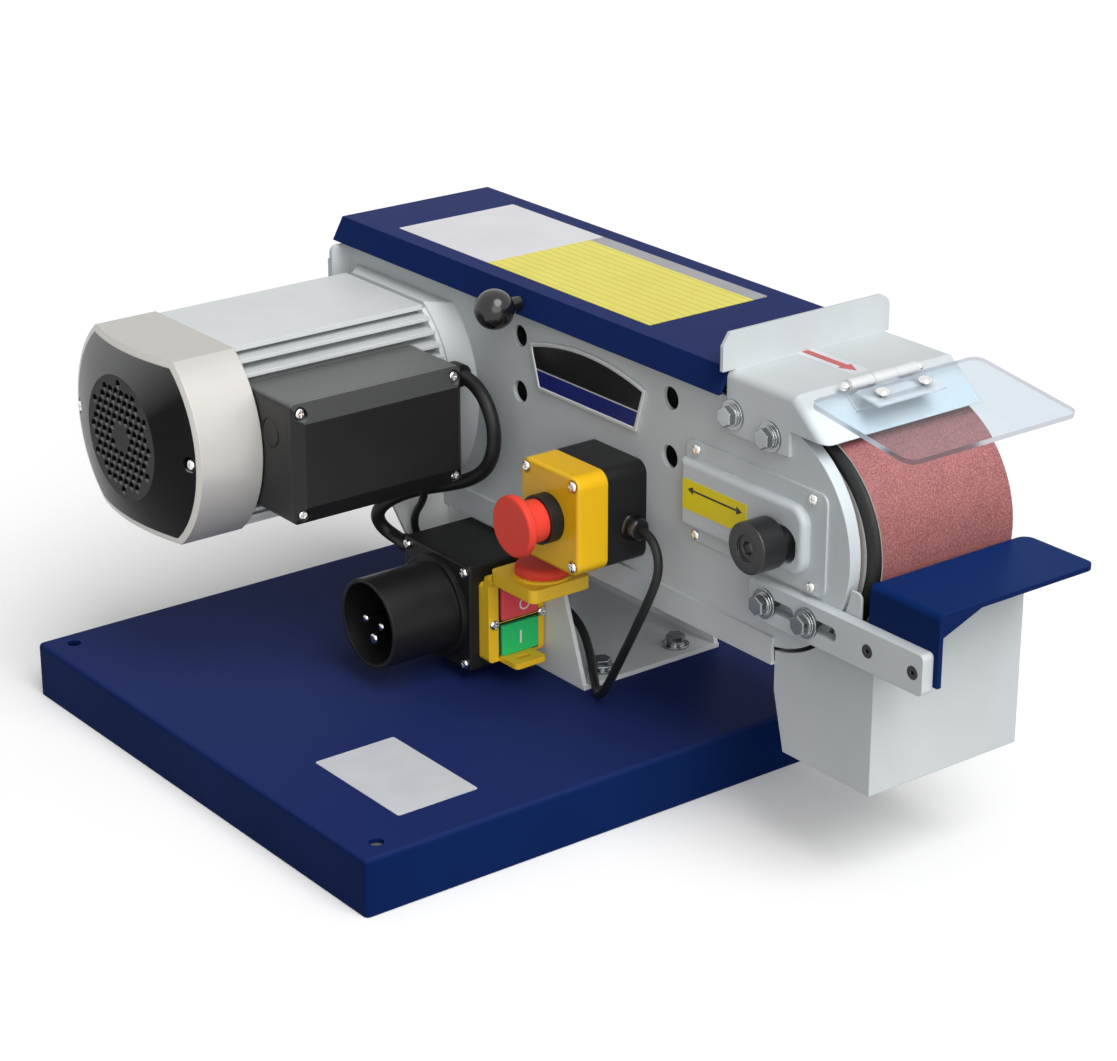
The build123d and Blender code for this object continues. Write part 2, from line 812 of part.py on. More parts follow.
def contact_tyre():
    shape = ring_y(axle_x, axle_z, contact_r, contact_r - tyre_depth, wheel_start, wheel_end)
    outer = shape.edges().filter_by(GeomType.CIRCLE).sort_by(lambda e: e.radius)[-2:]
    near_edge, far_edge = outer.sort_by(Axis.Y)
    shape = fillet(near_edge, tyre_near_r)
    outer = shape.edges().filter_by(GeomType.CIRCLE).filter_by(lambda e: e.radius > contact_r - tyre_far_r)
    return fillet(outer.sort_by(Axis.Y)[-1], tyre_far_r)


def contact_bearings():
    return group(ring_y(axle_x, axle_z, axle_bearing_r, axle_r + run_gap, start, start + bearing_width)
                 for start in axle_bearing_starts())


def drive_wheel():
    boss_span = (wheel_start, wheel_start + drive_boss_length)
    return wheel_body(motor_x, motor_z, drive_r, rim_depth, shaft_r, drive_boss_r, boss_span, drive_web_start)


def drive_wheel_bolt():
    boss_end = wheel_start + drive_boss_length
    shape = rod_y(motor_x, motor_z, drive_washer_r, boss_end, boss_end + drive_washer_thick)
    head = Pos(motor_x, motor_z) * RegularPolygon(bolt_head_r, 6)
    head_start = boss_end + drive_washer_thick
    shape += slab_y(head, head_start, head_start + bolt_head_height)
    return shape + rod_y(motor_x, motor_z, bolt_r, near_face + shaft_reach - foot_bolt_length, boss_end)


def rotor():
    core_front = stator_front - rotor_inset
    shape = rod_y(motor_x, motor_z, shaft_r, stator_rear, near_face + shaft_reach)
    shape += rod_y(motor_x, motor_z, rotor_r, core_front - rotor_length, core_front)
    fan_end = cap_edge + fan_offset
    shape += rod_y(motor_x, motor_z, rear_shaft_r, fan_end, stator_rear)
    bolt_end = near_face + shaft_reach - foot_bolt_length
    return shape - rod_y(motor_x, motor_z, bolt_r, bolt_end, near_face + shaft_reach)


def motor_bearings():
    front_end = stator_front + bearing_width
    front = ring_y(motor_x, motor_z, front_bearing_r, shaft_r + run_gap, stator_front, front_end)
    rear_start = stator_rear - rear_bearing_width
    rear = ring_y(motor_x, motor_z, rear_bearing_r, rear_shaft_r + run_gap, rear_start, stator_rear)
    return group([front, rear])


def motor_end_shields():
    front = slab_y(Pos(motor_x, motor_z) * flatted(shield_r, shield_flat), stator_front, motor_face)
    front += rod_y(motor_x, motor_z, shield_boss_r, motor_face, motor_face + shield_boss_length)
    front -= rod_y(motor_x, motor_z, front_bearing_r, stator_front, stator_front + bearing_width)
    front -= rod_y(motor_x, motor_z, shaft_r + part_gap, stator_front, motor_face + shield_boss_length)
    rear_outline = flatted(hood_r - hood_sheet, hood_flat - hood_sheet) - Circle(rear_bearing_r)
    rear = slab_y(Pos(motor_x, motor_z) * rear_outline, stator_rear - rear_shield_thick, stator_rear)
    return group([front, rear])


def stator_housing():
    outline = Circle(stator_core_r)
    for step in range(-fin_count + 1, fin_count):
        height = step * fin_pitch
        reach = sqrt(stator_r ** 2 - (abs(height) + fin_thick / 2) ** 2)
        outline += rect(-reach, reach, height - fin_thick / 2, height + fin_thick / 2)
    flat_reach = sqrt(stator_r ** 2 - stator_flat ** 2)
    for low in (-stator_flat, stator_flat - stator_top_sheet):
        outline += rect(-flat_reach, flat_reach, low, low + stator_top_sheet)
    outline -= Circle(stator_bore_r)
    shape = slab_y(Pos(motor_x, motor_z) * outline, stator_rear, stator_front)
    seat = box(terminal_x, motor_x + stator_r, terminal_start, terminal_start + terminal_length, *terminal_z)
    return shape - seat


# The cap's domed line, as an outline in radius and Y, pushed along Y by a thickness
def dome_line(push):
    crown = cap_front + push
    edge = cap_edge + push
    outer_r = hood_r + cap_sheet
    mid_r = (grille_r + outer_r) / 2
    mid = crown + (edge - crown) * cap_shoulder
    return [(0, crown), (grille_r, crown), (mid_r, mid), (outer_r, edge)]


def dome_region(front, back):
    inner = dome_line(back)
    if front is None:
        beyond = cap_front - 2 * cap_sheet
        closing = Polyline(inner[3], (inner[3][0], beyond), (0, beyond), inner[0])
    else:
        outer = dome_line(front)
        closing = [Line(inner[3], outer[3]), ThreePointArc(*reversed(outer[1:])),
                   Polyline(outer[1], outer[0], inner[0])]
    edges = Curve() + [Line(inner[0], inner[1]), ThreePointArc(*inner[1:])]
    edges += closing
    return turned_y(motor_x, motor_z, make_face(edges.edges()))


def hood_field(inset):
    return slab_y(Pos(motor_x, motor_z) * flatted(hood_r - inset, hood_flat - inset), cap_front, hood_rear)


# Metal sleeve whose front lip leans in with the dome, round the cap
def fan_hood():
    walls = hood_field(0) - hood_field(hood_sheet) - dome_region(None, 0)
    lip = (dome_region(0, cap_sheet) & hood_field(0)) - hood_field(hood_lip)
    return walls + lip


def honeycomb():
    cells = Sketch()
    rows = int(grille_field_r / (cell_pitch * sqrt(3) / 2)) + 1
    for row in range(-rows, rows + 1):
        height = row * cell_pitch * sqrt(3) / 2
        shift = (row % 2) * cell_pitch / 2
        for column in range(-rows, rows + 1):
            across = column * cell_pitch + shift
            distance = hypot(across, height)
            if grille_centre_r + cell_r < distance < grille_field_r - cell_r:
                cells += Pos(across, height) * RegularPolygon(cell_r, 6, rotation=30)
    return cells


def fan_cap():
    shape = dome_region(0, cap_sheet) & hood_field(hood_lip + cap_gap)
    shape -= slab_y(Pos(motor_x, motor_z) * honeycomb(), cap_front, cap_front + cap_sheet)
    for (x, y, z), outwards in cap_screws:
        shape -= rod_y(x, z, cap_screw_seat, cap_front, y)
    return drilled(shape, cap_screws, screw_bore)


def fan():
    fan_end = cap_edge + fan_offset
    disc_start = fan_end + fan_blade_height
    shape = ring_y(motor_x, motor_z, fan_r, rear_shaft_r, disc_start, disc_start + fan_disc)
    shape += ring_y(motor_x, motor_z, fan_hub_r, rear_shaft_r, fan_end, disc_start)
    half = fan_blade_thick / 2
    for turn in range(fan_blades):
        blade = rect(fan_hub_r - blade_sink, fan_r - blade_inset, -half, half)
        blade = Pos(motor_x, motor_z) * Rot(0, 0, turn * 360 / fan_blades) * blade
        shape += slab_y(blade, fan_end, disc_start)
    return shape


def terminal_box():
    end = terminal_start + terminal_length
    outer = slab_x(rect(terminal_start, end, *terminal_z, terminal_edge_r), terminal_x, lid_x)
    inner = rect(terminal_start + terminal_wall, end - terminal_wall, terminal_z[0] + terminal_wall,
                 terminal_z[1] - terminal_wall)
    shape = outer - slab_x(inner, terminal_x + terminal_wall, lid_x)
    post = screw_r + terminal_wall
    for (x, y, z), outwards in lid_screws:
        shape += box(terminal_x, lid_x, y - post, y + post, z - post, z + post)
    groove = ring_y(knockout_x, knockout_z, knockout_r, knockout_r - knockout_groove, terminal_start,
                    terminal_start + knockout_depth)
    return drilled((shape & outer) - groove, lid_screws, screw_bore)


def terminal_lid():
    end = terminal_start + terminal_length
    front = lid_x + terminal_lid_depth
    lid = slab_x(rect(terminal_start, end, *terminal_z, terminal_edge_r), lid_x, front)
    for sign, level in ((1, terminal_z[1]), (-1, terminal_z[0])):
        low = level - sign * lid_bevel_down
        bevel = shape_from((front, level), (front - lid_bevel_in, level), (front, low))
        lid -= slab_y(bevel, terminal_start, end)
    for sign, level in ((1, end), (-1, terminal_start)):
        bevel = shape_from((front, level), (front - lid_bevel_in, level), (front, level - sign * lid_bevel_in))
        lid -= slab_z(bevel, *terminal_z)
    for (x, y, z), outwards in lid_screws:
        lid -= rod_x(y, z, lid_screw_seat, x, front)
    return drilled(lid, lid_screws, screw_bore)


def top_cover():
    slope = (cover_lip_bottom - guard_top) / (cover_lip_near - near_face)
    across = cover_sheet * hypot(1, 1 / slope)
    ceiling = guard_top - cover_sheet
    far_edge = channel_far
    outline = shape_from((cover_lip_near, cover_lip_bottom), (near_face, guard_top), (far_edge, guard_top),
                         (far_edge, cover_far_bottom), (far_edge - cover_sheet, cover_far_bottom),
                         (far_edge - cover_sheet, ceiling), (near_face + across - cover_sheet / slope, ceiling),
                         (cover_lip_near + across, cover_lip_bottom))
    shape = slab_x(outline, *cover_x)
    shape += box(cover_x[0], cover_x[0] + cover_sheet, near_face + across, far_edge, cover_rear_bottom, ceiling)
    return shape - rod_y(handle_x, handle_z, handle_stud_r, handle_y, handle_stud_end)


def ball_handle(cover):
    shape = Pos(handle_x, handle_y, handle_z) * Sphere(handle_r)
    shape += rod_y(handle_x, handle_z, handle_neck_r, handle_y, handle_stud_end - handle_stud_r)
    shape -= cover
    below = box(handle_x - handle_r, handle_x + handle_r, cover_lip_near + handle_stud_r, handle_stud_end,
                handle_z - handle_r, handle_z + handle_r)
    shape = (shape - below).solids().sort_by(Axis.Y)[0]
    return shape + rod_y(handle_x, handle_z, handle_stud_r, handle_y, handle_stud_end)


def hinge_thirds(length):
    third = length / 3
    return [(-length / 2, third - length / 2 - part_gap / 2), (-third / 2, third / 2),
            (length / 2 - third + part_gap / 2, length / 2)]


def cover_hinge(at):
    thirds = hinge_thirds(hinge_length)
    fixed = box(at - hinge_length / 2, at + hinge_length / 2, far_face, far_face + hinge_leaf,
                hinge_z - hinge_leaf_height, hinge_z - hinge_r - part_gap)
    for low, high in (thirds[0], thirds[2]):
        fixed += rod_x(hinge_y, hinge_z, hinge_r, at + low, at + high)
        fixed += box(at + low, at + high, far_face, hinge_y - hinge_r + hinge_leaf,
                     hinge_z - hinge_r - hinge_leaf, hinge_z)
        fixed -= rod_x(hinge_y, hinge_z, hinge_pin_r, at + low, at + high)
    low, high = thirds[1]
    moving = box(at - hinge_length / 2, at + hinge_length / 2, channel_far, channel_far + hinge_leaf,
                 hinge_z + hinge_r + 2 * part_gap, guard_top - cover_sheet)
    moving += box(at + low, at + high, channel_far, channel_far + hinge_leaf, hinge_z, guard_top - cover_sheet)
    moving += rod_x(hinge_y, hinge_z, hinge_r, at + low, at + high)
    moving -= rod_x(hinge_y, hinge_z, hinge_pin_r + run_gap, at + low, at + high)
    pin = rod_x(hinge_y, hinge_z, hinge_pin_r, at - hinge_length / 2, at + hinge_length / 2)
    return fixed, moving, pin


# Shield plane: its underside runs down to the front at the tilt
def shield_under(x):
    lean = radians(shield_tilt)
    return shield_rear_z - shield_thick_clear / cos(lean) - (x - shield_rear) * tan(lean)


def clear_shield():
    sheet = rect(0, shield_length, -shield_width / 2, shield_width / 2, shield_corner_r)
    lean = radians(shield_tilt)
    corner = (shield_rear, shield_mid_y, shield_rear_z)
    plane = Plane(corner, x_dir=(cos(lean), 0, -sin(lean)), z_dir=(sin(lean), 0, cos(lean)))
    shape = extrude(plane * sheet, -shield_thick_clear)
    return shape - shield_screw_rods(screw_r + bolt_gap)


def shield_screw_rods(radius):
    rods = Part()
    for place, outwards in shield_screw_places():
        seat = Plane(place, z_dir=outwards)
        depth = shield_thick_clear + pivot_leaf + part_gap
        rods += seat * (Pos(0, 0, -depth) * extrude(Circle(radius), depth))
    return rods


def shield_screw_places():
    lean = radians(shield_tilt)
    top_z = shield_under(shield_screw_x) + shield_thick_clear / cos(lean)
    return [((shield_screw_x, pivot_y + side * shield_screw_pitch / 2, top_z), (sin(lean), 0, cos(lean)))
            for side in (-1, 1)]


def shield_screws():
    heads = []
    for place, outwards in shield_screw_places():
        upper = Pos(0, 0, shield_screw_r) * Box(*[2 * shield_screw_r] * 3)
        dome = scale(Sphere(shield_screw_r) & upper, (1, 1, shield_screw_height / shield_screw_r))
        heads.append(Plane(place, z_dir=outwards) * dome)
    rods = shield_screw_rods(screw_r).solids()
    return group(head + min(rods, key=lambda rod: (rod.center() - head.center()).length) for head in heads)


def shield_leaf():
    low, high = hinge_thirds(pivot_length)[1]
    leaf_depth = pivot_leaf / cos(radians(shield_tilt))

    def strip(x0, x1):
        z0 = shield_under(x0)
        z1 = shield_under(x1)
        return shape_from((x0, z0), (x1, z1), (x1, z1 - leaf_depth), (x0, z0 - leaf_depth))

    half = pivot_length / 2
    shape = slab_y(strip(*moving_leaf_x), pivot_y - half, pivot_y + half)
    shape += slab_y(strip(pivot_x, moving_leaf_x[0]), pivot_y + low, pivot_y + high)
    shape += rod_y(pivot_x, pivot_z, pivot_r, pivot_y + low, pivot_y + high)
    shape -= rod_y(pivot_x, pivot_z, pivot_pin_r + run_gap, pivot_y + low, pivot_y + high)
    return shape - shield_screw_rods(screw_r + bolt_gap)


def guard_leaf():
    run = hypot(guard_front - guard_bend_x, guard_top - guard_front_z)
    along = Vector((guard_front - guard_bend_x) / run, (guard_front_z - guard_top) / run)
    out = Vector(-along.Y, along.X)
    bend = Vector(guard_bend_x, guard_top)
    start = bend + along * pivot_leaf_start
    end = bend + along * pivot_leaf_end
    leaf = shape_from(*[(p.X, p.Y) for p in (start, end, end + out * pivot_leaf, start + out * pivot_leaf)])
    half = pivot_length / 2
    shape = slab_y(leaf, pivot_y - half, pivot_y + half)
    thirds = hinge_thirds(pivot_length)
    web_start = start + along * pivot_leaf + out * pivot_leaf / 2
    web_end = web_start + along * pivot_r
    web = shape_from((web_start.X, web_start.Y), (web_end.X, web_end.Y), (web_end.X, pivot_z),
                     (web_start.X, pivot_z))
    for low, high in (thirds[0], thirds[2]):
        shape += slab_y(web, pivot_y + low, pivot_y + high)
        shape += rod_y(pivot_x, pivot_z, pivot_r, pivot_y + low, pivot_y + high)
        shape -= rod_y(pivot_x, pivot_z, pivot_pin_r, pivot_y + low, pivot_y + high)
    return shape


def shield_pin():
    half = pivot_length / 2
    reach = half + pivot_ball_out
    shape = rod_y(pivot_x, pivot_z, pivot_pin_r, pivot_y - reach, pivot_y + reach)
    for side in (-1, 1):
        ball = Pos(pivot_x, pivot_y + side * reach, pivot_z) * Sphere(pivot_ball_r)
        beyond = pivot_y + side * (half + pivot_ball_r * 2)
        keep = Pos(pivot_x, beyond, pivot_z) * Box(*[pivot_ball_r * 4] * 3)
        shape += ball & keep
    return shape


def dust_box():
    arc_r = nose_r + dust_arc_gap
    tab_low = sqrt(arc_r ** 2 - (nose_z - dust_tab_top) ** 2) + nose_x
    rear_points = [(tab_low - nose_r, dust_tab_top), (channel_front, dust_rear_top),
                   (channel_front, channel_base - channel_drop), (dust_bottom_rear, dust_bottom)]
    far_wall = shape_from((dust_front, dust_bottom), (dust_front, dust_tab_top), *rear_points)
    near_wall = shape_from((dust_front, dust_bottom), (dust_front, dust_step_z), (dust_step_x, dust_step_z),
                           (dust_step_x, dust_tab_top), *rear_points)
    tab_corner = near_wall.vertices().sort_by(lambda v: v.Y - abs(v.X - dust_step_x))[-1]
    near_wall = fillet(tab_corner, dust_tab_r)
    round_nose = Pos(nose_x, nose_z) * Circle(arc_r)
    shape = slab_y(near_wall - round_nose, dust_near, dust_near + dust_sheet)
    shape += slab_y(far_wall - round_nose, dust_far - dust_sheet, dust_far)
    shape += box(dust_front - dust_sheet, dust_front, dust_near, dust_far, dust_bottom, dust_step_z)
    shape += box(dust_front - dust_sheet, dust_front, dust_near + dust_front_gap, dust_far, dust_bottom,
                 dust_tab_top)
    shape += box(dust_bottom_rear, dust_front, dust_near, dust_far, dust_bottom, dust_bottom + dust_sheet)
    rear_low = channel_base - channel_drop
    rear = shape_from((dust_bottom_rear, dust_bottom), (dust_bottom_rear + dust_sheet, dust_bottom),
                      (channel_front + dust_sheet, rear_low), (channel_front + dust_sheet, dust_rear_top),
                      (channel_front, dust_rear_top), (channel_front, rear_low))
    rear_wall = slab_y(rear, dust_near, dust_far) - rod_y(nose_x, nose_z, arc_r, dust_near, dust_far)
    return drilled(shape + rear_wall, dust_screws, screw_bore)


def rest_bar():
    outline = rect(*bar_x, *bar_z, bar_corner_r)
    for x in bar_bolts_x:
        start = x - bolt_r - bolt_gap
        outline -= rect(start, start + slot_front, bar_mid - bolt_r - bolt_gap, bar_mid + bolt_r + bolt_gap,
                        bolt_r)
    shape = slab_y(outline, bar_near, near_face)
    for x in rest_screws_x:
        shape -= rest_screw(x)
    return shape


# Countersunk screw through the bar and the rest's flange
def rest_screw(x):
    shank_r = screw_r + rest_screw_extra
    end = bar_thick + rest_sheet
    cone = shape_from((0, 0), (screw_head_r + rest_screw_extra, 0), (shank_r, screw_head_height),
                      (shank_r, end), (0, end))
    return turned_y(x, bar_mid, Pos(0, bar_near) * cone)


def rest_screws():
    screws = []
    for x in rest_screws_x:
        socket = Pos(x, bar_mid) * RegularPolygon(screw_r, 6)
        screws.append(rest_screw(x) - slab_y(socket, bar_near, bar_near + screw_head_height))
    return group(screws)


def tool_rest():
    near = near_face
    far = near + rest_length
    under = rest_top - rest_sheet
    low = rest_top - rest_drop
    fold = shape_from((near, low), (near + rest_sheet, low), (near + rest_sheet, under), (far, under),
                      (far, rest_top), (near, rest_top))
    bend = fold.vertices().sort_by(lambda v: v.Y - v.X)[-1]
    shape = slab_x(fillet(bend, rest_bend_r), *rest_x)
    far_edges = shape.edges().filter_by(Axis.Z).filter_by(lambda e: e.center().Y > far - rest_sheet)
    shape = fillet(far_edges, rest_corner_r)
    gusset_low = rest_top - rest_gusset_drop
    gusset = shape_from((near, under), (near + rest_gusset_width, under), (near + rest_sheet, gusset_low),
                        (near, gusset_low))
    shape += slab_x(gusset, rest_x[1] - rest_sheet, rest_x[1])
    for x in rest_screws_x:
        shape -= rest_screw(x)
    return shape


def estop_outline(inset):
    half_x = estop_width / 2 - inset
    half_z = estop_height / 2 - inset
    return rect(estop_x - half_x, estop_x + half_x, estop_z - half_z, estop_z + half_z,
                estop_edge_r - inset / 2)


def estop_base():
    front = near_face - estop_base_depth
    shape = slab_y(estop_outline(0), front, near_face)
    return shape - slab_y(estop_outline(estop_wall), front, near_face - estop_wall)


def estop_cover():
    back = near_face - estop_base_depth
    shape = slab_y(estop_outline(0), estop_front, back)
    shape = fillet(shape.faces().sort_by(Axis.Y)[0].edges(), estop_front_r)
    shape -= slab_y(estop_outline(estop_wall), estop_front + estop_wall, back)
    shape -= rod_y(estop_x, estop_z, button_neck_r + part_gap, estop_front, back)
    for (x, y, z), outwards in estop_screws:
        shape -= rod_y(x, z, estop_screw_seat, estop_front, y)
    return drilled(shape, estop_screws, screw_bore)


def estop_collar():
    return ring_y(estop_x, estop_z, collar_r, button_neck_r + part_gap, estop_front - collar_depth, estop_front)


def estop_button():
    head_back = button_front + button_head_depth
    outline = shape_from((0, button_front), (button_head_r, button_front), (button_head_r, head_back),
                         (button_neck_r, head_back + button_flare), (button_neck_r, button_neck_end),
                         (0, button_neck_end))
    rim = outline.vertices().filter_by(lambda v: v.X > button_neck_r + button_rim_r)
    return turned_y(estop_x, estop_z, fillet(rim, button_rim_r))


def switch_box():
    outer = rect(*switch_x, *switch_z, switch_edge_r)
    shape = slab_y(outer, switch_y, pedestal_near)
    shape = fillet(shape.faces().sort_by(Axis.Y)[0].edges(), switch_edge_r / 2)
    inner = rect(switch_x[0] + switch_wall, switch_x[1] - switch_wall, switch_z[0] + switch_wall,
                 switch_z[1] - switch_wall)
    shape -= slab_y(inner, switch_y + switch_wall, pedestal_near)
    window = rect(button_y[0] - part_gap, button_y[1] + part_gap, start_z[0] - part_gap, stop_z[1] + part_gap)
    shape -= slab_x(window, switch_x[1] - switch_wall, switch_x[1])
    shape = drilled(shape, box_screws, screw_bore)
    return drilled(shape, frame_screws, screw_bore)


def inlet_shroud():
    front = switch_y - inlet_length
    shape = rod_y(inlet_x, inlet_z, inlet_r, front, switch_y)
    shape += rod_y(inlet_x, inlet_z, inlet_flange_r, switch_y - inlet_flange, switch_y)
    return shape - rod_y(inlet_x, inlet_z, inlet_r - inlet_wall, front, switch_y - inlet_flange)


def inlet_pins():
    half = inlet_pin_pitch / 2
    places = [(-half, 0, inlet_pin_r), (half, 0, inlet_pin_r), (0, -earth_pin_drop, earth_pin_r)]
    pins = []
    for across, up, radius in places:
        pin = rod_y(inlet_x + across, inlet_z + up, radius, switch_y - inlet_length + inlet_pin_short,
                    switch_y - inlet_flange)
        pins.append(fillet(pin.edges().sort_by(Axis.Y)[0], inlet_pin_tip_r))
    return group(pins)


def switch_frame():
    shape = slab_x(rect(*frame_y, *frame_z, frame_corner_r), switch_x[1], frame_front)
    for low, high in (start_z, stop_z):
        window = rect(button_y[0] - part_gap, button_y[1] + part_gap, low - part_gap, high + part_gap)
        shape -= slab_x(window, switch_x[1], frame_front)
    latch = rect(switch_x[1], frame_front + latch_reach, *latch_y, frame_corner_r)
    latch -= Pos(frame_front + latch_reach / 2, sum(latch_y) / 2) * Rectangle(latch_slot[1], latch_slot[0])
    latch &= rect(frame_front - frame_corner_r, frame_front + latch_reach, *latch_y)
    shape += slab_z(latch, frame_z[0], frame_z[0] + latch_thick)
    ear = Pos(flap_axis_x, flap_axis_z) * Circle(flap_ear_r)
    ear += rect(flap_axis_x - flap_ear_r, frame_front, stop_z[1] + 2 * part_gap, flap_axis_z)
    for y0 in (frame_y[0], frame_y[1] - flap_ear):
        shape += slab_y(ear, y0, y0 + flap_ear)
    shape += rod_y(flap_axis_x, flap_axis_z, flap_pin_r, *frame_y)
    return drilled(shape, frame_screws, screw_bore)


def push_button(levels):
    front = frame_front + button_proud
    shape = slab_x(rect(*button_y, *levels, button_edge_r), front - button_length, front)
    return fillet(shape.faces().sort_by(Axis.X)[-1].edges(), button_front_r)


def switch_flap():
    half = flap_width / 2
    shape = slab_z(rect(*flap_x, flap_mid_y - half, flap_mid_y + half, flap_corner_r), *flap_z)
    inner_half = half - flap_wall
    hollow = rect(flap_x[0] + flap_wall, flap_x[1] - flap_wall, flap_mid_y - inner_half,
                  flap_mid_y + inner_half, flap_corner_r - flap_wall)
    shape -= slab_z(hollow, flap_z[0], flap_z[1] - flap_wall)
    shape += rod_z(flap_knob_x, flap_mid_y, flap_boss_r, flap_z[1], flap_z[1] + flap_boss_height)
    y0 = frame_y[0] + flap_ear + part_gap
    y1 = frame_y[1] - flap_ear - part_gap
    shape += box(flap_axis_x, flap_x[0] + flap_wall, y0, y1, flap_z[0], flap_z[0] + flap_wall)
    shape += rod_y(flap_axis_x, flap_axis_z, flap_knuckle_r, y0, y1)
    return shape - rod_y(flap_axis_x, flap_axis_z, flap_pin_r + run_gap, y0, y1)


def flap_mushroom():
    low = flap_z[1] + flap_boss_height
    shape = rod_z(flap_knob_x, flap_mid_y, flap_knob_r, low, low + flap_knob_height)
    return fillet(shape.edges().sort_by(Axis.Z)[-1], flap_knob_edge_r)


# A lead along its route, with each bend as wide as its two runs allow
def lead(name, route, radius):
    points = [Vector(*p) for p in route]
    radii = []
    for before, here, after in zip(points, points[1:], points[2:]):
        run_in = here - before
        run_out = after - here
        half_turn = radians(run_in.get_angle(run_out)) / 2
        radii.append(lead_bend_share * min(run_in.length, run_out.length) / tan(half_turn))
    path = FilletPolyline(*points, radius=radii)
    tube = sweep(Plane(path @ 0, z_dir=path % 0) * Circle(radius), path=path)
    print(name, "radii", [round(r, 1) for r in radii], "length", round(path.length, 1))
    return tube


def lead_glands():
    estop_face = estop_x + estop_width / 2
    estop_gland = rod_x(estop_gland_y, estop_gland_z, estop_lead_r + gland_wall, estop_face,
                        estop_face + estop_gland_length)
    terminal_end = terminal_start + terminal_length
    elbow_r = motor_lead_r + gland_wall
    elbow = rod_y(motor_gland_x, motor_gland_z, elbow_r, terminal_end, motor_gland_y)
    elbow += Pos(motor_gland_x, motor_gland_y, motor_gland_z) * Sphere(elbow_r)
    elbow += rod_x(motor_gland_y, motor_gland_z, elbow_r, motor_gland_x, motor_gland_x + motor_gland_length)
    pieces = [estop_gland, elbow]
    for route, radius in ((motor_lead_route, motor_lead_r), (thin_lead_route, thin_lead_r)):
        end = route[-1]
        gland_end = switch_x[0] - box_gland_length
        pieces.append(rod_x(end[1], end[2], radius + gland_wall / 2, gland_end, switch_x[0]))
    return group(pieces)


# Frame pieces
save("base_tray", base_tray())
save("pedestal", pedestal())
save("pedestal_bolts", group(hex_bolt(*place, foot_bolt_length) for place in foot_bolts))
save("lower_channel", lower_channel())
save("near_side_plate", near_side_plate())
save("far_side_plate", far_side_plate())
save("platen", platen())
save("front_guard", front_guard())
guard_bolts = [hex_bolt(*place, near_bolt_length) for place in near_guard_bolts]
guard_bolts += [hex_bolt(*place, far_bolt_length) for place in far_guard_bolts]
save("guard_bolts", group(guard_bolts))
save("axle_cover", axle_cover())
save("dust_box", dust_box())
save("pan_head_screws", group(pan_screw(*place) for place in all_screws))

# Tool rest
save("rest_bar", rest_bar())
save("rest_bar_bolts", group(hex_bolt(*place, bar_bolt_length) for place in bar_bolts))
save("tool_rest", tool_rest())
save("rest_screws", rest_screws())

# Motor and drive
save("motor_end_shields", motor_end_shields())
save("stator_housing", stator_housing())
save("fan_hood", fan_hood())
save("fan_cap", fan_cap())
save("terminal_box", terminal_box())
save("terminal_lid", terminal_lid())
save("motor_bearings", motor_bearings())
save("rotor", rotor())
save("fan", fan())
save("drive_wheel", drive_wheel())
save("drive_wheel_bolt", drive_wheel_bolt())

# Belt end
save("abrasive_belt", abrasive_belt())
save("contact_hub", contact_hub())
save("contact_tyre", contact_tyre())
save("contact_bearings", contact_bearings())
save("wheel_axle", wheel_axle())
save("tension_block", tension_block())
save("tracking_knob", tracking_knob())

# Top cover and shield
cover = top_cover()
save("top_cover", cover)
save("ball_handle", ball_handle(cover))
hinges = [cover_hinge(at) for at in cover_hinges_at]
save("cover_hinge_bases", group(fixed for fixed, moving, pin in hinges))
save("cover_hinge_leaves", group(moving for fixed, moving, pin in hinges))
save("cover_hinge_pins", group(pin for fixed, moving, pin in hinges))
save("clear_shield", clear_shield())
save("shield_leaf", shield_leaf())
save("shield_screws", shield_screws())
save("guard_leaf", guard_leaf())
save("shield_pin", shield_pin())

# Controls
save("estop_base", estop_base())
save("estop_cover", estop_cover())
save("estop_collar", estop_collar())
save("estop_button", estop_button())
save("switch_box", switch_box())
save("inlet_shroud", inlet_shroud())
save("inlet_pins", inlet_pins())
save("switch_frame", switch_frame())
save("start_button", push_button(start_z))
save("stop_button", push_button(stop_z))
save("switch_flap", switch_flap())
save("flap_mushroom", flap_mushroom())

# Leads
save("lead_glands", lead_glands())
save("motor_lead", lead("motor lead", motor_lead_route, motor_lead_r))
save("thin_lead", lead("thin lead", thin_lead_route, thin_lead_r))
save("estop_lead", lead("emergency stop lead", estop_lead_route, estop_lead_r))
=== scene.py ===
# %% [markdown]
# # A bench belt sander
# The solids come from the CAD frame, in metres: X runs towards the contact wheel, Y away from the motor, Z up. They
# already fit together and move on their joints, so none of them is built again here. Each cell gives some of them
# their finish, or adds thin pieces that no solid stands for, and says what it made.

import math

import bmesh
import bpy
from mathutils import Matrix, Vector


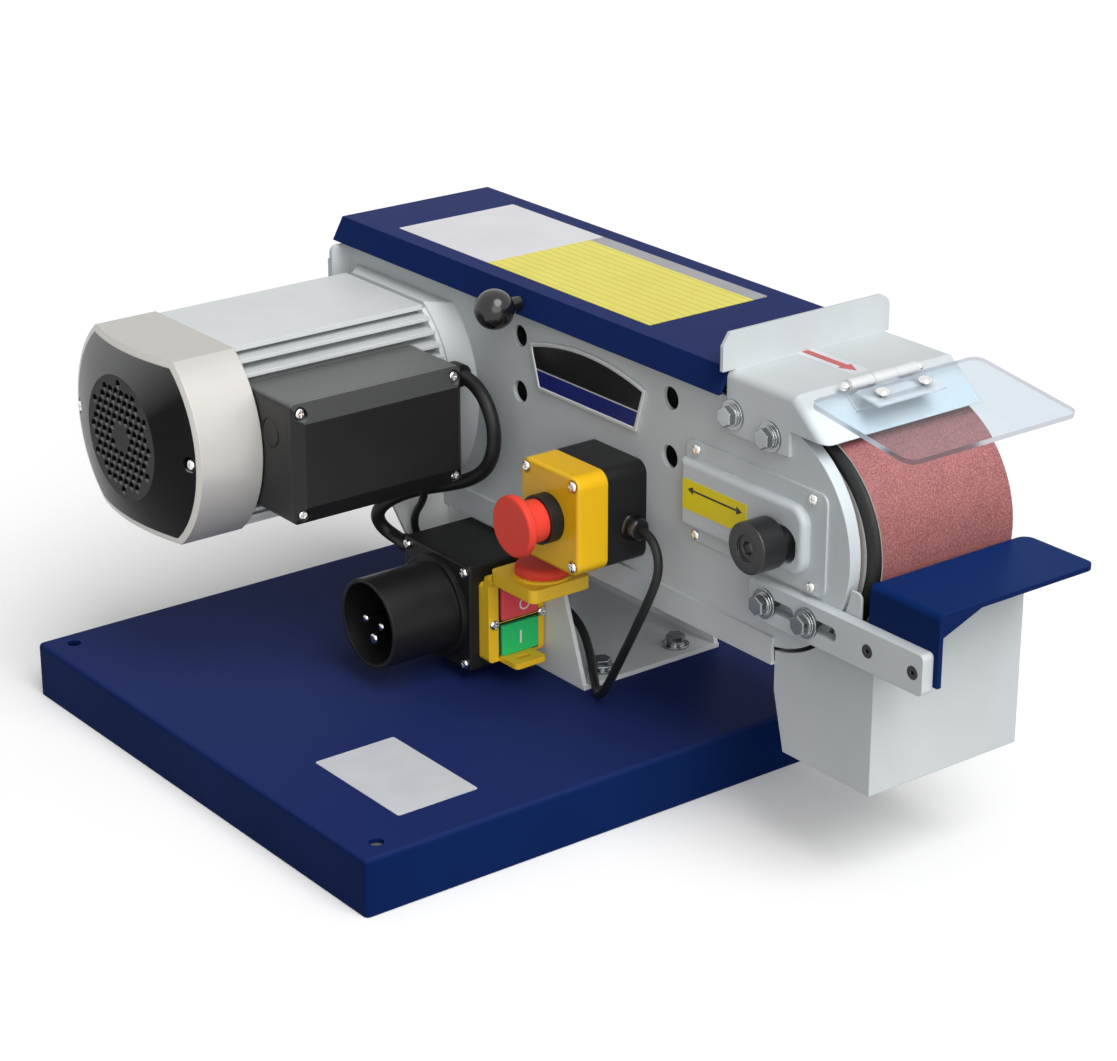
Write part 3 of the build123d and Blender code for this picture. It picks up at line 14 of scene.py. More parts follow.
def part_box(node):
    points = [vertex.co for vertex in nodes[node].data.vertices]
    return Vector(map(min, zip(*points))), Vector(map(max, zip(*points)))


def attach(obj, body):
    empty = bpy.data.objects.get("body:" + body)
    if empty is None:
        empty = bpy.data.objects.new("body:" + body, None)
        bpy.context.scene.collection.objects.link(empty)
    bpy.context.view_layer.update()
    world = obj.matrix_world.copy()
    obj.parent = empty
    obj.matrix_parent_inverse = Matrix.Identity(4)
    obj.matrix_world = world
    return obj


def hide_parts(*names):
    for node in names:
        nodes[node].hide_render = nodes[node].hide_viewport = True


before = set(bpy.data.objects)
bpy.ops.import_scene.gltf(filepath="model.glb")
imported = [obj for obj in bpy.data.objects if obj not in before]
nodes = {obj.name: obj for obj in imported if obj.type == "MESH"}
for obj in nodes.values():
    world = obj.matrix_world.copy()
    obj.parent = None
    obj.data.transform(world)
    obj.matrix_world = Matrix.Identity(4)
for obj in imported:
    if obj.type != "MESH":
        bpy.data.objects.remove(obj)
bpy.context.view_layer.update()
scene = bpy.context.scene
print("nodes", len(nodes))

# %% [markdown]
# ## The camera
# The machine was photographed from in front of its motor side, a little above the bench. A camera could be turned by
# eye until the picture looks about right, but straight edges soon betray it, so the view is worked out from them: 52.4
# degrees round from the motor's end and 22 degrees above the bench, through a long lens. Setting the focal length in
# pixels keeps the picture's own frame.

# %% Camera
IMAGE_WIDTH = 1117
FOCAL_PIXELS = 3000.0
SENSOR_WIDTH = 36.0
TARGET = Vector((0.061, 0.033, 0.136))
BACK = Vector((0.73496, -0.56600, 0.37347)).normalized()
DISTANCE = 1.85
NEAREST = 0.05

camera_data = bpy.data.cameras.new("photo_camera")
camera = bpy.data.objects.new("photo_camera", camera_data)
scene.collection.objects.link(camera)
camera_data.sensor_width = SENSOR_WIDTH
camera_data.lens = FOCAL_PIXELS / IMAGE_WIDTH * SENSOR_WIDTH
camera_data.clip_start = NEAREST
camera.location = TARGET + BACK * DISTANCE
camera.rotation_euler = (-BACK).to_track_quat("-Z", "Y").to_euler()
scene.camera = camera
print("camera", [round(v, 3) for v in camera.location])

# %% [markdown]
# ## Leads
# Three black leads hang between their glands: one from the motor, a thin one beside it, and one from the emergency
# stop that loops down behind the pedestal. A tube of bent runs would look like wire, so each lead is one smooth NURBS
# line through listed points. Its round bevel is one metre deep and each point's radius scales it down, because
# the box that Blender keeps of a curve counts that radius.

# %% Leads
MILLIMETRE = 0.001
MOTOR_ROUTE = [(-14, 15, 220), (-4, 15, 220), (10.7, 15, 211.5), (19.2, 15, 196.8), (19.2, 15, 179.8),
               (10.7, 15, 165), (-5.7, 14, 153.5), (-24, 9, 146), (-40, -2, 141), (-51, -15, 134.5),
               (-59, -21, 124.5), (-61, -17.5, 114), (-54, -11, 106), (-42.5, -11, 106)]
THIN_ROUTE = [(-20, -10, 159.5), (-20, -10, 151), (-26, -7, 141), (-37, -2, 131), (-48, 2, 122),
              (-53.5, 4, 112), (-53, 6.5, 102), (-48, 7, 97.5), (-42.5, 7, 97.5)]
ESTOP_ROUTE = [(155, 22, 168.5), (161, 22, 168.5), (169.2, 21, 163.8), (174, 20, 155.3), (174, 19, 144.5),
               (164.5, 19, 125), (149.5, 20, 99), (132.5, 22, 71.5), (116.5, 26.5, 50), (101, 33, 38),
               (86.5, 41, 44), (75.5, 47, 54), (63.5, 50.5, 66), (48, 51, 73.5), (33, 49, 75.5), (26, 44, 75),
               (26, 37, 75)]
# For each CAD tube, the route, radius and length of its lead, in millimetres
LEADS = {"motor_lead": (MOTOR_ROUTE, 4.5, 202), "thin_lead": (THIN_ROUTE, 2.5, 84),
         "estop_lead": (ESTOP_ROUTE, 2.75, 264)}
ROUND_STEPS = 6
LINE_STEPS = 12


def lead(node, route, radius):
    name = node + "_cord"
    places = [tuple(value * MILLIMETRE for value in place) for place in route]
    data = bpy.data.curves.new(name, "CURVE")
    data.dimensions = "3D"
    data.bevel_depth = 1
    data.bevel_resolution = ROUND_STEPS
    data.resolution_u = LINE_STEPS
    data.use_fill_caps = True
    spline = data.splines.new("NURBS")
    spline.points.add(len(places) - 1)
    for point, place in zip(spline.points, places):
        point.co = (*place, 1)
        point.radius = radius
    spline.order_u = 3
    spline.use_endpoint_u = True
    piece = bpy.data.objects.new(name, data)
    scene.collection.objects.link(piece)
    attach(piece, "frame")
    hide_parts(node)
    return piece


leads = [lead(node, route, radius * MILLIMETRE)
         for node, (route, radius, length) in LEADS.items()]
print("leads", [piece.name for piece in leads])

# %% [markdown]
# ## Material helpers
# Real paint and plastic are never one flat colour. A picture of each finish could be wrapped round the pieces, but it
# would stretch and show seams, so every finish here is mixed from noise that reads a point's place in the piece. Small
# functions that add one node each keep the recipes short.


# %% Noise, ramps and spans
def new_material(name):
    material = bpy.data.materials.new(name)
    material.use_nodes = True
    tree = material.node_tree
    return material, tree.nodes, tree.links, tree.nodes["Principled BSDF"]


def noise(tree_nodes, links, scale, detail=4.0, stretch=(1, 1, 1)):
    coords = tree_nodes.new("ShaderNodeTexCoord")
    mapping = tree_nodes.new("ShaderNodeMapping")
    texture = tree_nodes.new("ShaderNodeTexNoise")
    mapping.inputs["Scale"].default_value = stretch
    texture.inputs["Scale"].default_value = scale
    texture.inputs["Detail"].default_value = detail
    links.new(coords.outputs["Object"], mapping.inputs["Vector"])
    links.new(mapping.outputs["Vector"], texture.inputs["Vector"])
    return texture.outputs["Fac"]


# Two colours that drift into each other as a value grows
def ramp(tree_nodes, links, value, low, high, at=(0.35, 0.65)):
    blend = tree_nodes.new("ShaderNodeValToRGB")
    for element, position, colour in zip(blend.color_ramp.elements, at, (low, high)):
        element.position = position
        element.color = (*colour, 1)
    links.new(value, blend.inputs["Fac"])
    return blend.outputs["Color"]


# Two numbers, in the same way
def spread(tree_nodes, links, value, low, high, at=(0.0, 1.0)):
    span = tree_nodes.new("ShaderNodeMapRange")
    for name, number in zip(("From Min", "From Max", "To Min", "To Max"), (*at, low, high)):
        span.inputs[name].default_value = number
    links.new(value, span.inputs["Value"])
    return span.outputs["Result"]


print("new_material, noise, ramp and spread are ready")

# %% [markdown]
# A finish is built in layers, as a real one is: dust or a worn edge lies over the coat, and the coat's own grain breaks
# up the light. The grain could be modelled, but a grain of a millimetre over the whole machine would need millions of
# faces, so a bump node tilts the light instead.

# %% Layers and bumps
# A Mix node has inputs for each kind of value, and its colours are found by number
MIX_UNDER, MIX_OVER, MIX_RESULT = 6, 7, 2


# Feed a socket from another one, or set it to a plain value
def feed(links, socket, value):
    if isinstance(value, bpy.types.NodeSocket):
        links.new(value, socket)
    else:
        socket.default_value = value


def mix(tree_nodes, links, factor, under, over):
    blend = tree_nodes.new("ShaderNodeMix")
    blend.data_type = "RGBA"
    links.new(factor, blend.inputs["Factor"])
    for number, colour in ((MIX_UNDER, under), (MIX_OVER, over)):
        feed(links, blend.inputs[number], (*colour, 1) if isinstance(colour, tuple) else colour)
    return blend.outputs[MIX_RESULT]


def calculate(tree_nodes, links, operation, *values):
    node = tree_nodes.new("ShaderNodeMath")
    node.operation = operation
    for socket, value in zip(node.inputs, values):
        feed(links, socket, value)
    return node.outputs["Value"]


def bump(tree_nodes, links, height, distance, strength, shader, normal=None):
    node = tree_nodes.new("ShaderNodeBump")
    node.inputs["Distance"].default_value = distance
    node.inputs["Strength"].default_value = strength
    links.new(height, node.inputs["Height"])
    if normal:
        links.new(normal, node.inputs["Normal"])
    links.new(node.outputs["Normal"], shader.inputs["Normal"])


print("feed, mix, calculate and bump are ready")

# %% [markdown]
# No folded or moulded edge is razor sharp. The solids could be beveled, but they belong to the CAD frame and keep their
# plain edges, so the Bevel shader node rounds the light over them instead. Comparing its direction with the true one
# tells where an edge is. There the colour is painted paler, as a painted highlight along the edge.

# %% Rounded edges
SOFT_SAMPLES = 4
EDGE_BAND = (0.72, 0.97)


def soft_normal(tree_nodes, radius):
    soft = tree_nodes.new("ShaderNodeBevel")
    soft.samples = SOFT_SAMPLES
    soft.inputs["Radius"].default_value = radius
    return soft.outputs["Normal"]


# How far one direction goes along another, from -1 to 1
def along(tree_nodes, links, direction, other):
    product = tree_nodes.new("ShaderNodeVectorMath")
    product.operation = "DOT_PRODUCT"
    feed(links, product.inputs[0], direction)
    feed(links, product.inputs[1], other)
    return product.outputs["Value"]


def edge_highlight_mask(tree_nodes, links, soft):
    flat = tree_nodes.new("ShaderNodeNewGeometry").outputs["Normal"]
    return spread(tree_nodes, links, along(tree_nodes, links, soft, flat), 1.0, 0.0, at=EDGE_BAND)


# How far a face looks along a direction of the piece's own space
def facing(tree_nodes, links, direction):
    coords = tree_nodes.new("ShaderNodeTexCoord")
    return along(tree_nodes, links, coords.outputs["Normal"], direction)


print("soft_normal, edge_highlight_mask and facing are ready")

# %% [markdown]
# Most surfaces of the machine are smooth paint, plastic or metal, which differ only in their numbers. A material could
# be built by hand for each, but one recipe keeps them alike: two close colours, a gloss that varies six times as
# quickly from place to place, a fine grain, a colour on the faces that look one way, which is dust on some finishes,
# painted light on others and painted shade on the hood, and softened edges with a painted highlight along them.

# %% Finish and paint
GLOSS_SCALE = 6
GRAIN_DETAIL = 2.0
DUST_AND_LIGHT_BAND = 0.6


def finish(name, low, high, rough, metal=0.0, grain=900.0, depth=0.00004, strength=0.3, drift=9.0,
           specular=0.5, edge=None, edge_radius=0.0008, dust_and_painted_light=None, dust_and_light_from=0.3, dust_and_light_side=(0, 0, 1),
           stretch=(1, 1, 1)):
    material, tree_nodes, links, shader = new_material(name)
    colour = ramp(tree_nodes, links, noise(tree_nodes, links, drift), low, high)
    soft = soft_normal(tree_nodes, edge_radius)
    # Faces that look towards one side take another colour: dust on some finishes, painted light on others, painted
    # shade on the hood
    if dust_and_painted_light:
        upward = facing(tree_nodes, links, dust_and_light_side)
        dusted_and_lit = spread(tree_nodes, links, upward, 0.0, 1.0, at=(dust_and_light_from, dust_and_light_from + DUST_AND_LIGHT_BAND))
        colour = mix(tree_nodes, links, dusted_and_lit, colour, dust_and_painted_light)
    # Edges are painted paler: a painted highlight along them
    if edge:
        colour = mix(tree_nodes, links, edge_highlight_mask(tree_nodes, links, soft), colour, edge)
    gloss = noise(tree_nodes, links, drift * GLOSS_SCALE)
    links.new(colour, shader.inputs["Base Color"])
    links.new(spread(tree_nodes, links, gloss, *rough), shader.inputs["Roughness"])
    bump(tree_nodes, links, noise(tree_nodes, links, grain, GRAIN_DETAIL, stretch), depth, strength, shader, soft)
    shader.inputs["Metallic"].default_value = metal
    shader.inputs["Specular IOR Level"].default_value = specular
    return material


def paint(piece, material):
    piece.data.materials.clear()
    piece.data.materials.append(material)


# Paint the nodes listed under each finish, and count them
def dress(finishes):
    for material, names in finishes.items():
        for name in names:
            paint(nodes[name], material)
    return sum(map(len, finishes.values()))


print("finish, paint and dress are ready")

# %% [markdown]
# ## Powder coats
# The base, the cover and the rest are navy blue, the pedestal is painted nearly white, as painted light that stands
# for the light reaching under the body, and all other sheet metal is pale grey. Powder coat flows into a soft orange
# peel before it sets, so the bump is low and about a millimetre and a half across, and the gloss is broad. The upward
# faces of the blue parts are painted lighter, as painted top light, and dust also greys the wide level faces of the
# base and the cover, so these two get a coat of their own.

# %% Powder coats
NAVY_COAT = {"low": (0.0035, 0.0140, 0.078), "high": (0.0050, 0.0185, 0.092), "rough": (0.34, 0.44), "grain": 650,
             "depth": 0.00006}
GREY_COAT = {"rough": (0.36, 0.46), "grain": 700, "depth": 0.00005}

# The rest's upward faces are painted a lighter blue: painted top light
blue = finish("blue_powder_coat", **NAVY_COAT, specular=0.02, edge=(0.014, 0.036, 0.150),
              dust_and_painted_light=(0.0030, 0.0225, 0.118))
# Upward faces of the base and the cover turn greyer and lighter: dust, and painted top light
dusty_lit_blue = finish("dusty_lit_blue_coat", **NAVY_COAT, specular=0.010, edge=(0.020, 0.040, 0.145),
                    dust_and_painted_light=(0.0150, 0.0270, 0.120))
grey = finish("grey_powder_coat", (0.54, 0.58, 0.595), (0.60, 0.635, 0.645), **GREY_COAT, specular=0.2,
              edge=(0.70, 0.73, 0.74))
# The pedestal's coat is the grey painted paler: painted light that stands for the light reaching under the body
lit_grey = finish("lit_grey_coat", (0.76, 0.785, 0.78), (0.82, 0.84, 0.835), **GREY_COAT, specular=0.3,
                   edge=(0.90, 0.91, 0.91))

coats = {
    blue: ["tool_rest"],
    dusty_lit_blue: ["base_tray", "top_cover"],
    grey: ["lower_channel", "near_side_plate", "far_side_plate", "front_guard", "axle_cover", "dust_box", "rest_bar"],
    lit_grey: ["pedestal"],
}
coated = dress(coats)
print("powder coats on", coated, "nodes")

# %% [markdown]
# ## Metals
# The motor's finned body is a sprayed casting, its hood is drawn aluminium with lines around it, the bolts are zinc
# plated and the shield's hinge is nickel. Metallic set to one makes a metal of the colour. Dull metal gets less of it,
# because a full mirror would show the white studio and not the metal. Stretching the grain along one axis gives the
# direction in which the metal was worked.

# %% Metals
silver = finish("sprayed_casting", (0.60, 0.625, 0.63), (0.67, 0.695, 0.70), (0.38, 0.50), metal=0.1, grain=420,
                depth=0.00012, edge=(0.78, 0.80, 0.80))
# Upward faces of the hood, hub and drive wheel are painted darker: painted shade on their tops
hood_metal = finish("drawn_aluminium", (0.585, 0.565, 0.53), (0.65, 0.63, 0.595), (0.30, 0.40), metal=0.30, grain=260,
                    depth=0.00003, dust_and_painted_light=(0.50, 0.49, 0.46), stretch=(1, 30, 1))
zinc = finish("zinc_plate", (0.22, 0.24, 0.25), (0.36, 0.38, 0.39), (0.16, 0.30), metal=1.0, grain=500,
              edge=(0.90, 0.91, 0.91), edge_radius=0.0005)
satin_nickel = finish("satin_nickel", (0.66, 0.68, 0.69), (0.74, 0.76, 0.76), (0.34, 0.44), metal=0.35, grain=500)
nickel = finish("bright_nickel", (0.78, 0.78, 0.76), (0.86, 0.86, 0.84), (0.06, 0.14), metal=1.0, grain=300,
                depth=0.00001)
steel = finish("turned_steel", (0.50, 0.50, 0.50), (0.62, 0.62, 0.61), (0.24, 0.36), metal=1.0, grain=400)
black_oxide = finish("black_oxide", (0.010, 0.010, 0.011), (0.020, 0.020, 0.021), (0.26, 0.38), metal=0.3,
                     specular=0.7, edge=(0.10, 0.10, 0.10))
pin_metal = finish("plated_pins", (0.72, 0.71, 0.68), (0.82, 0.81, 0.78), (0.12, 0.22), metal=1.0)

metals = {
    silver: ["stator_housing", "motor_end_shields"],
    hood_metal: ["fan_hood", "contact_hub", "drive_wheel"],
    zinc: ["pedestal_bolts", "guard_bolts", "rest_bar_bolts", "cover_hinge_pins"],
    satin_nickel: ["guard_leaf", "shield_leaf", "cover_hinge_bases", "cover_hinge_leaves"],
    nickel: ["shield_pin", "shield_screws", "pan_head_screws"],
    steel: ["motor_bearings", "rotor", "drive_wheel_bolt", "contact_bearings", "wheel_axle", "tension_block",
            "platen"],
    black_oxide: ["tracking_knob", "rest_screws"],
    pin_metal: ["inlet_pins"],
}
plated = dress(metals)
print("metals on", plated, "nodes")

# %% [markdown]
# ## Plastics and rubber
# The boxes are black moulded plastic with a fine spark-eroded texture, the fan cap and the ball handle are smoother,
# and the controls are glossy yellow, red and green. One black could serve for all, but they don't look alike: dust and
# a painted sheen grey the top of the terminal box, and a painted highlight makes the cap's dome pale towards its upper
# left. The switch frame and flap get a paler yellow, as painted light. A low specular level keeps the blacks deep under
# soft light.

# %% Plastics and rubber
black = finish("black_moulded", (0.0075, 0.0075, 0.008), (0.0125, 0.0125, 0.013), (0.38, 0.50), grain=1100,
               specular=0.3, edge=(0.030, 0.030, 0.031))
# The terminal box's upward faces are painted grey: dust, and a painted sheen where light glances off its top
dust_sheen_black = finish("dust_and_sheen_black", (0.0085, 0.0085, 0.009), (0.0140, 0.0140, 0.0145), (0.38, 0.50), grain=1100,
                   specular=0.3, edge=(0.040, 0.040, 0.041), dust_and_painted_light=(0.125, 0.130, 0.128))
# The cap's upper-left faces are painted pale: a painted highlight
cap_black = finish("cap_black", (0.005, 0.005, 0.0055), (0.008, 0.008, 0.009), (0.24, 0.34), grain=700,
                   specular=0.06, dust_and_painted_light=(0.34, 0.345, 0.35), dust_and_light_from=-0.05, dust_and_light_side=(-0.66, 0, 0.75))
ball_black = finish("ball_black", (0.006, 0.006, 0.0065), (0.010, 0.010, 0.011), (0.12, 0.20), grain=700,
                    specular=0.6)
rubber = finish("black_rubber", (0.008, 0.008, 0.0085), (0.015, 0.015, 0.0155), (0.42, 0.56), grain=900,
                specular=0.35)
yellow = finish("yellow_moulded", (0.77, 0.44, 0.006), (0.83, 0.49, 0.011), (0.24, 0.34), specular=0.3,
                edge=(0.90, 0.58, 0.03))
# The switch frame and flap get a paler copy of the yellow: painted light where they sit in shade
lit_switch_yellow = finish("lit_switch_yellow", (0.86, 0.53, 0.020), (0.92, 0.58, 0.030), (0.24, 0.34), specular=0.3,
                       edge=(0.94, 0.64, 0.05))
red = finish("red_moulded", (0.76, 0.058, 0.036), (0.84, 0.072, 0.046), (0.28, 0.38), specular=0.12,
             edge=(0.84, 0.12, 0.08))
stop_red = finish("stop_button_red", (0.80, 0.085, 0.105), (0.86, 0.105, 0.125), (0.16, 0.24), specular=0.2)
start_green = finish("start_button_green", (0.026, 0.57, 0.17), (0.038, 0.63, 0.20), (0.16, 0.24), specular=0.15)

plastics = {
    dust_sheen_black: ["terminal_box", "terminal_lid"],
    black: ["fan", "estop_base", "estop_collar", "switch_box", "inlet_shroud", "lead_glands"],
    cap_black: ["fan_cap"],
    ball_black: ["ball_handle"],
    rubber: ["contact_tyre"],
    yellow: ["estop_cover"],
    lit_switch_yellow: ["switch_frame", "switch_flap"],
    red: ["estop_button", "flap_mushroom"],
    stop_red: ["stop_button"],
    start_green: ["start_button"],
}
moulded = dress(plastics)
for piece in leads:
    paint(piece, rubber)
print("plastics on", moulded, "nodes and", len(leads), "leads")

# %% [markdown]
# ## The abrasive belt
# The belt is cloth coated with red-brown grit, and its cut edges show the pale backing. Real grains could be strewn
# over it, but there would be far too many, so two layers of noise colour it, one as fine as the grains and one that
# drifts over centimetres, and the fine one also lifts the grains. The edges are the faces that look sideways, along Y.

# %% Belt
GRAIN_SCALE = 1000
GRIT_DETAIL = 3.0
CLOUD_SCALE = 60
SPECKLE_SHARE = (0.35, 0.75)
CUT_BAND = (0.8, 0.95)
BACKING = (0.62, 0.56, 0.50)

grit, tree_nodes, links, shader = new_material("abrasive_grit")
grains = noise(tree_nodes, links, GRAIN_SCALE, GRIT_DETAIL)
clouds = noise(tree_nodes, links, CLOUD_SCALE)
drift = ramp(tree_nodes, links, clouds, (0.225, 0.070, 0.067), (0.280, 0.090, 0.086))
speckle = ramp(tree_nodes, links, grains, (0.14, 0.038, 0.036), (0.46, 0.18, 0.17), at=(0.36, 0.68))
strewn = mix(tree_nodes, links, spread(tree_nodes, links, grains, *SPECKLE_SHARE), drift, speckle)
sideways = calculate(tree_nodes, links, "ABSOLUTE", facing(tree_nodes, links, (0, 1, 0)))
cut_edge = spread(tree_nodes, links, sideways, 0.0, 1.0, at=CUT_BAND)
links.new(mix(tree_nodes, links, cut_edge, strewn, BACKING), shader.inputs["Base Color"])
bump(tree_nodes, links, grains, 0.0004, 0.7, shader)
shader.inputs["Roughness"].default_value = 0.75
paint(nodes["abrasive_belt"], grit)
print("belt coated with grit")

# %% [markdown]
# ## The clear shield
# The shield is a sheet of clear plastic with a cool tint. A high index of refraction would bend the view and turn the
# rim black, so the body of the sheet gets a low one, and a thin coat gives it its shine. Its sawn edges are matt and
# greyer, and are told from the two wide faces by the way they look. Glass stops the lamps' rays in a path tracer, so
# for those alone a plain Transparent shader takes its place.

# %% Shield
SHEET_TILT = math.radians(8.3)
SHEET_NORMAL = (math.sin(SHEET_TILT), 0, math.cos(SHEET_TILT))
SAWN_BAND = (0.3, 0.9)
SAWN_GREY = (0.50, 0.48, 0.54)
TINT_SCALE = 25

clear, tree_nodes, links, shader = new_material("clear_sheet")
shader.inputs["Transmission Weight"].default_value = 1.0
shader.inputs["IOR"].default_value = 1.06
shader.inputs["Coat Weight"].default_value = 0.4
shader.inputs["Coat Roughness"].default_value = 0.05
across = calculate(tree_nodes, links, "ABSOLUTE", facing(tree_nodes, links, SHEET_NORMAL))
sawn = spread(tree_nodes, links, across, 1.0, 0.0, at=SAWN_BAND)
tint = ramp(tree_nodes, links, noise(tree_nodes, links, TINT_SCALE), (0.68, 0.765, 0.83), (0.72, 0.795, 0.85))
links.new(mix(tree_nodes, links, sawn, tint, SAWN_GREY), shader.inputs["Base Color"])
links.new(spread(tree_nodes, links, sawn, 0.01, 0.40), shader.inputs["Roughness"])
lamp_light = tree_nodes.new("ShaderNodeBsdfTransparent")
lamp_light.inputs["Color"].default_value = (0.99, 0.995, 1, 1)
either = tree_nodes.new("ShaderNodeMixShader")
links.new(tree_nodes.new("ShaderNodeLightPath").outputs["Is Shadow Ray"], either.inputs["Fac"])
links.new(shader.outputs["BSDF"], either.inputs[1])
links.new(lamp_light.outputs["BSDF"], either.inputs[2])
links.new(either.outputs["Shader"], tree_nodes["Material Output"].inputs["Surface"])
paint(nodes["clear_shield"], clear)
print("shield is clear")

# %% [markdown]
# ## Plates and printed sheets
# The cover, the base and the axle cover carry thin printed sheets. Their colours could be painted on the solids, but a
# sticker's rim catches the light, so each is a piece of its own. It starts as a one-face grid, scaled to size, its
# corners rounded by a vertex bevel, and is then extruded to its thickness.

# %% Sheet helpers
CORNER_STEPS = 6


def flat_sheet(size):
    sheet = bmesh.new()
    bmesh.ops.create_grid(sheet, x_segments=1, y_segments=1, size=0.5)
    bmesh.ops.scale(sheet, vec=(*size, 1), verts=sheet.verts[:])
    return sheet


def thicken(sheet, thick):
    grown = bmesh.ops.extrude_face_region(sheet, geom=sheet.faces[:])
    lifted = [part for part in grown["geom"] if isinstance(part, bmesh.types.BMVert)]
    bmesh.ops.translate(sheet, vec=(0, 0, thick), verts=lifted)
    bmesh.ops.recalc_face_normals(sheet, faces=sheet.faces[:])


def rounded_sheet(size, corner, thick):
    sheet = flat_sheet(size)
    bmesh.ops.bevel(sheet, geom=sheet.verts[:], offset=corner, offset_type="OFFSET", affect="VERTICES",
                    segments=CORNER_STEPS, profile=0.5, material=-1)
    thicken(sheet, thick)
    return sheet


print("flat_sheet, thicken and rounded_sheet are ready")

# %% [markdown]
# A shape is drawn flat and then seated on the machine, looking up, towards the motor's side or towards the front.
# Moving the finished object would do that too, but patterns read Object coordinates, so the place goes into the mesh
# and the object stays at the origin.

# %% Seats
FACING_UP = Matrix.Identity(4)
FACING_MOTOR = Matrix.Rotation(math.radians(90), 4, "X")
FACING_FRONT = Matrix(((0, 0, 1, 0), (1, 0, 0, 0), (0, 1, 0, 0), (0, 0, 0, 1)))


def seat(place, turn):
    return Matrix.Translation(place) @ turn


def make_piece(name, shape, seated, body, slot, *materials):
    bmesh.ops.transform(shape, matrix=seated, verts=shape.verts[:])
    mesh = bpy.data.meshes.new(name)
    shape.to_mesh(mesh)
    shape.free()
    piece = bpy.data.objects.new(name, mesh)
    scene.collection.objects.link(piece)
    for material in materials:
        mesh.materials.append(material)
    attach(piece, body)
    return piece


print("seat and make_piece are ready")

# %% [markdown]
# Printed paper is flat and a little shiny. Ruled lines could be thin strips of their own, but on a sheet they are only
# ink, so a value that runs to and fro along Y marks them in the material.

# %% Printed paper
RULE_PITCH = 0.0062
RULE_BAND = (0.00012, 0.0004)
PAPER_ROUGH = (0.34, 0.46)


def printed(name, paper, shade, ink=None, drift=30, gloss=200, grain=500):
    material, tree_nodes, links, shader = new_material(name)
    colour = ramp(tree_nodes, links, noise(tree_nodes, links, drift), paper, shade)
    if ink:
        coords = tree_nodes.new("ShaderNodeTexCoord")
        axes = tree_nodes.new("ShaderNodeSeparateXYZ")
        links.new(coords.outputs["Object"], axes.inputs["Vector"])
        repeat = calculate(tree_nodes, links, "PINGPONG", axes.outputs["Y"], RULE_PITCH / 2)
        rule = spread(tree_nodes, links, repeat, 1.0, 0.0, at=RULE_BAND)
        colour = mix(tree_nodes, links, rule, colour, ink)
    links.new(colour, shader.inputs["Base Color"])
    links.new(spread(tree_nodes, links, noise(tree_nodes, links, gloss), *PAPER_ROUGH), shader.inputs["Roughness"])
    bump(tree_nodes, links, noise(tree_nodes, links, grain), 0.00002, 0.3, shader)
    shader.inputs["Specular IOR Level"].default_value = 0.3
    return material


paper_white = printed("panel_white", (0.66, 0.66, 0.69), (0.70, 0.70, 0.73))
paper_yellow = printed("panel_yellow", (0.74, 0.66, 0.070), (0.79, 0.71, 0.085), ink=(0.40, 0.36, 0.11))
paper_grey = printed("panel_grey", (0.30, 0.30, 0.32), (0.34, 0.34, 0.36))
print("three papers for the cover panel")

# %% [markdown]
# The panel on the cover is white at its rear and yellow with faint ruled lines at its front, with a grey strip along
# the far edge. Three sheets side by side would show gaps, so two bisecting planes cut one sheet into its fields.

# %% Cover panel
STICKER = 0.0003
PANEL_X = (-0.125, 0.131)
PANEL_Y = (0.046, 0.138)
PANEL_CORNER = 0.0015
FIELD_X = -0.028
STRIP_Y = 0.1265
CUT_SNAP = 1e-7
REAR_FIELD, FRONT_FIELD, FAR_STRIP = range(3)

panel_mid = Vector((sum(PANEL_X) / 2, sum(PANEL_Y) / 2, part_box("top_cover")[1].z))
field_cut = FIELD_X - panel_mid.x
strip_cut = STRIP_Y - panel_mid.y
panel = rounded_sheet((PANEL_X[1] - PANEL_X[0], PANEL_Y[1] - PANEL_Y[0]), PANEL_CORNER, STICKER)
for cut, normal in (((field_cut, 0, 0), (1, 0, 0)), ((0, strip_cut, 0), (0, 1, 0))):
    bmesh.ops.bisect_plane(panel, geom=panel.verts[:] + panel.edges[:] + panel.faces[:], dist=CUT_SNAP,
                           plane_co=cut, plane_no=normal)
for face in panel.faces:
    middle = face.calc_center_median()
    front_part = FAR_STRIP if middle.y > strip_cut else FRONT_FIELD
    face.material_index = REAR_FIELD if middle.x < field_cut else front_part
make_piece("cover_panel", panel, seat(panel_mid, FACING_UP), "cover", "yellow_plastic", paper_white, paper_yellow,
           paper_grey)
print("cover panel with 3 fields")

# %% [markdown]
# The base carries a plain silver-white plate, and the axle cover a small yellow sheet with a double arrow that says
# which way the wheel slides. Ink could be part of the sheet's material, but an arrow's slanted edges stay sharp only
# as geometry: a few vertices and one face, thickened like the sheets.

# %% Rating plate and slide arrow
PLATE_SIZE = (0.0865, 0.0565)
PLATE_CORNER = 0.0015
PLATE_X, PLATE_Y = 0.1110, -0.1260
LABEL_SIZE = (0.0560, 0.0185)
LABEL_CORNER = 0.0012
LABEL_X, LABEL_Z = 0.2156, 0.2020
SLIDE_ARROW_X, SLIDE_ARROW_Z = 0.2160, 0.2055

arrow_ink = finish("printed_black", (0.010, 0.010, 0.010), (0.015, 0.015, 0.015), (0.36, 0.46))
plate_white = printed("plate_white", (0.56, 0.58, 0.61), (0.62, 0.64, 0.67))
label_yellow = printed("label_yellow", (0.80, 0.64, 0.012), (0.85, 0.69, 0.020))


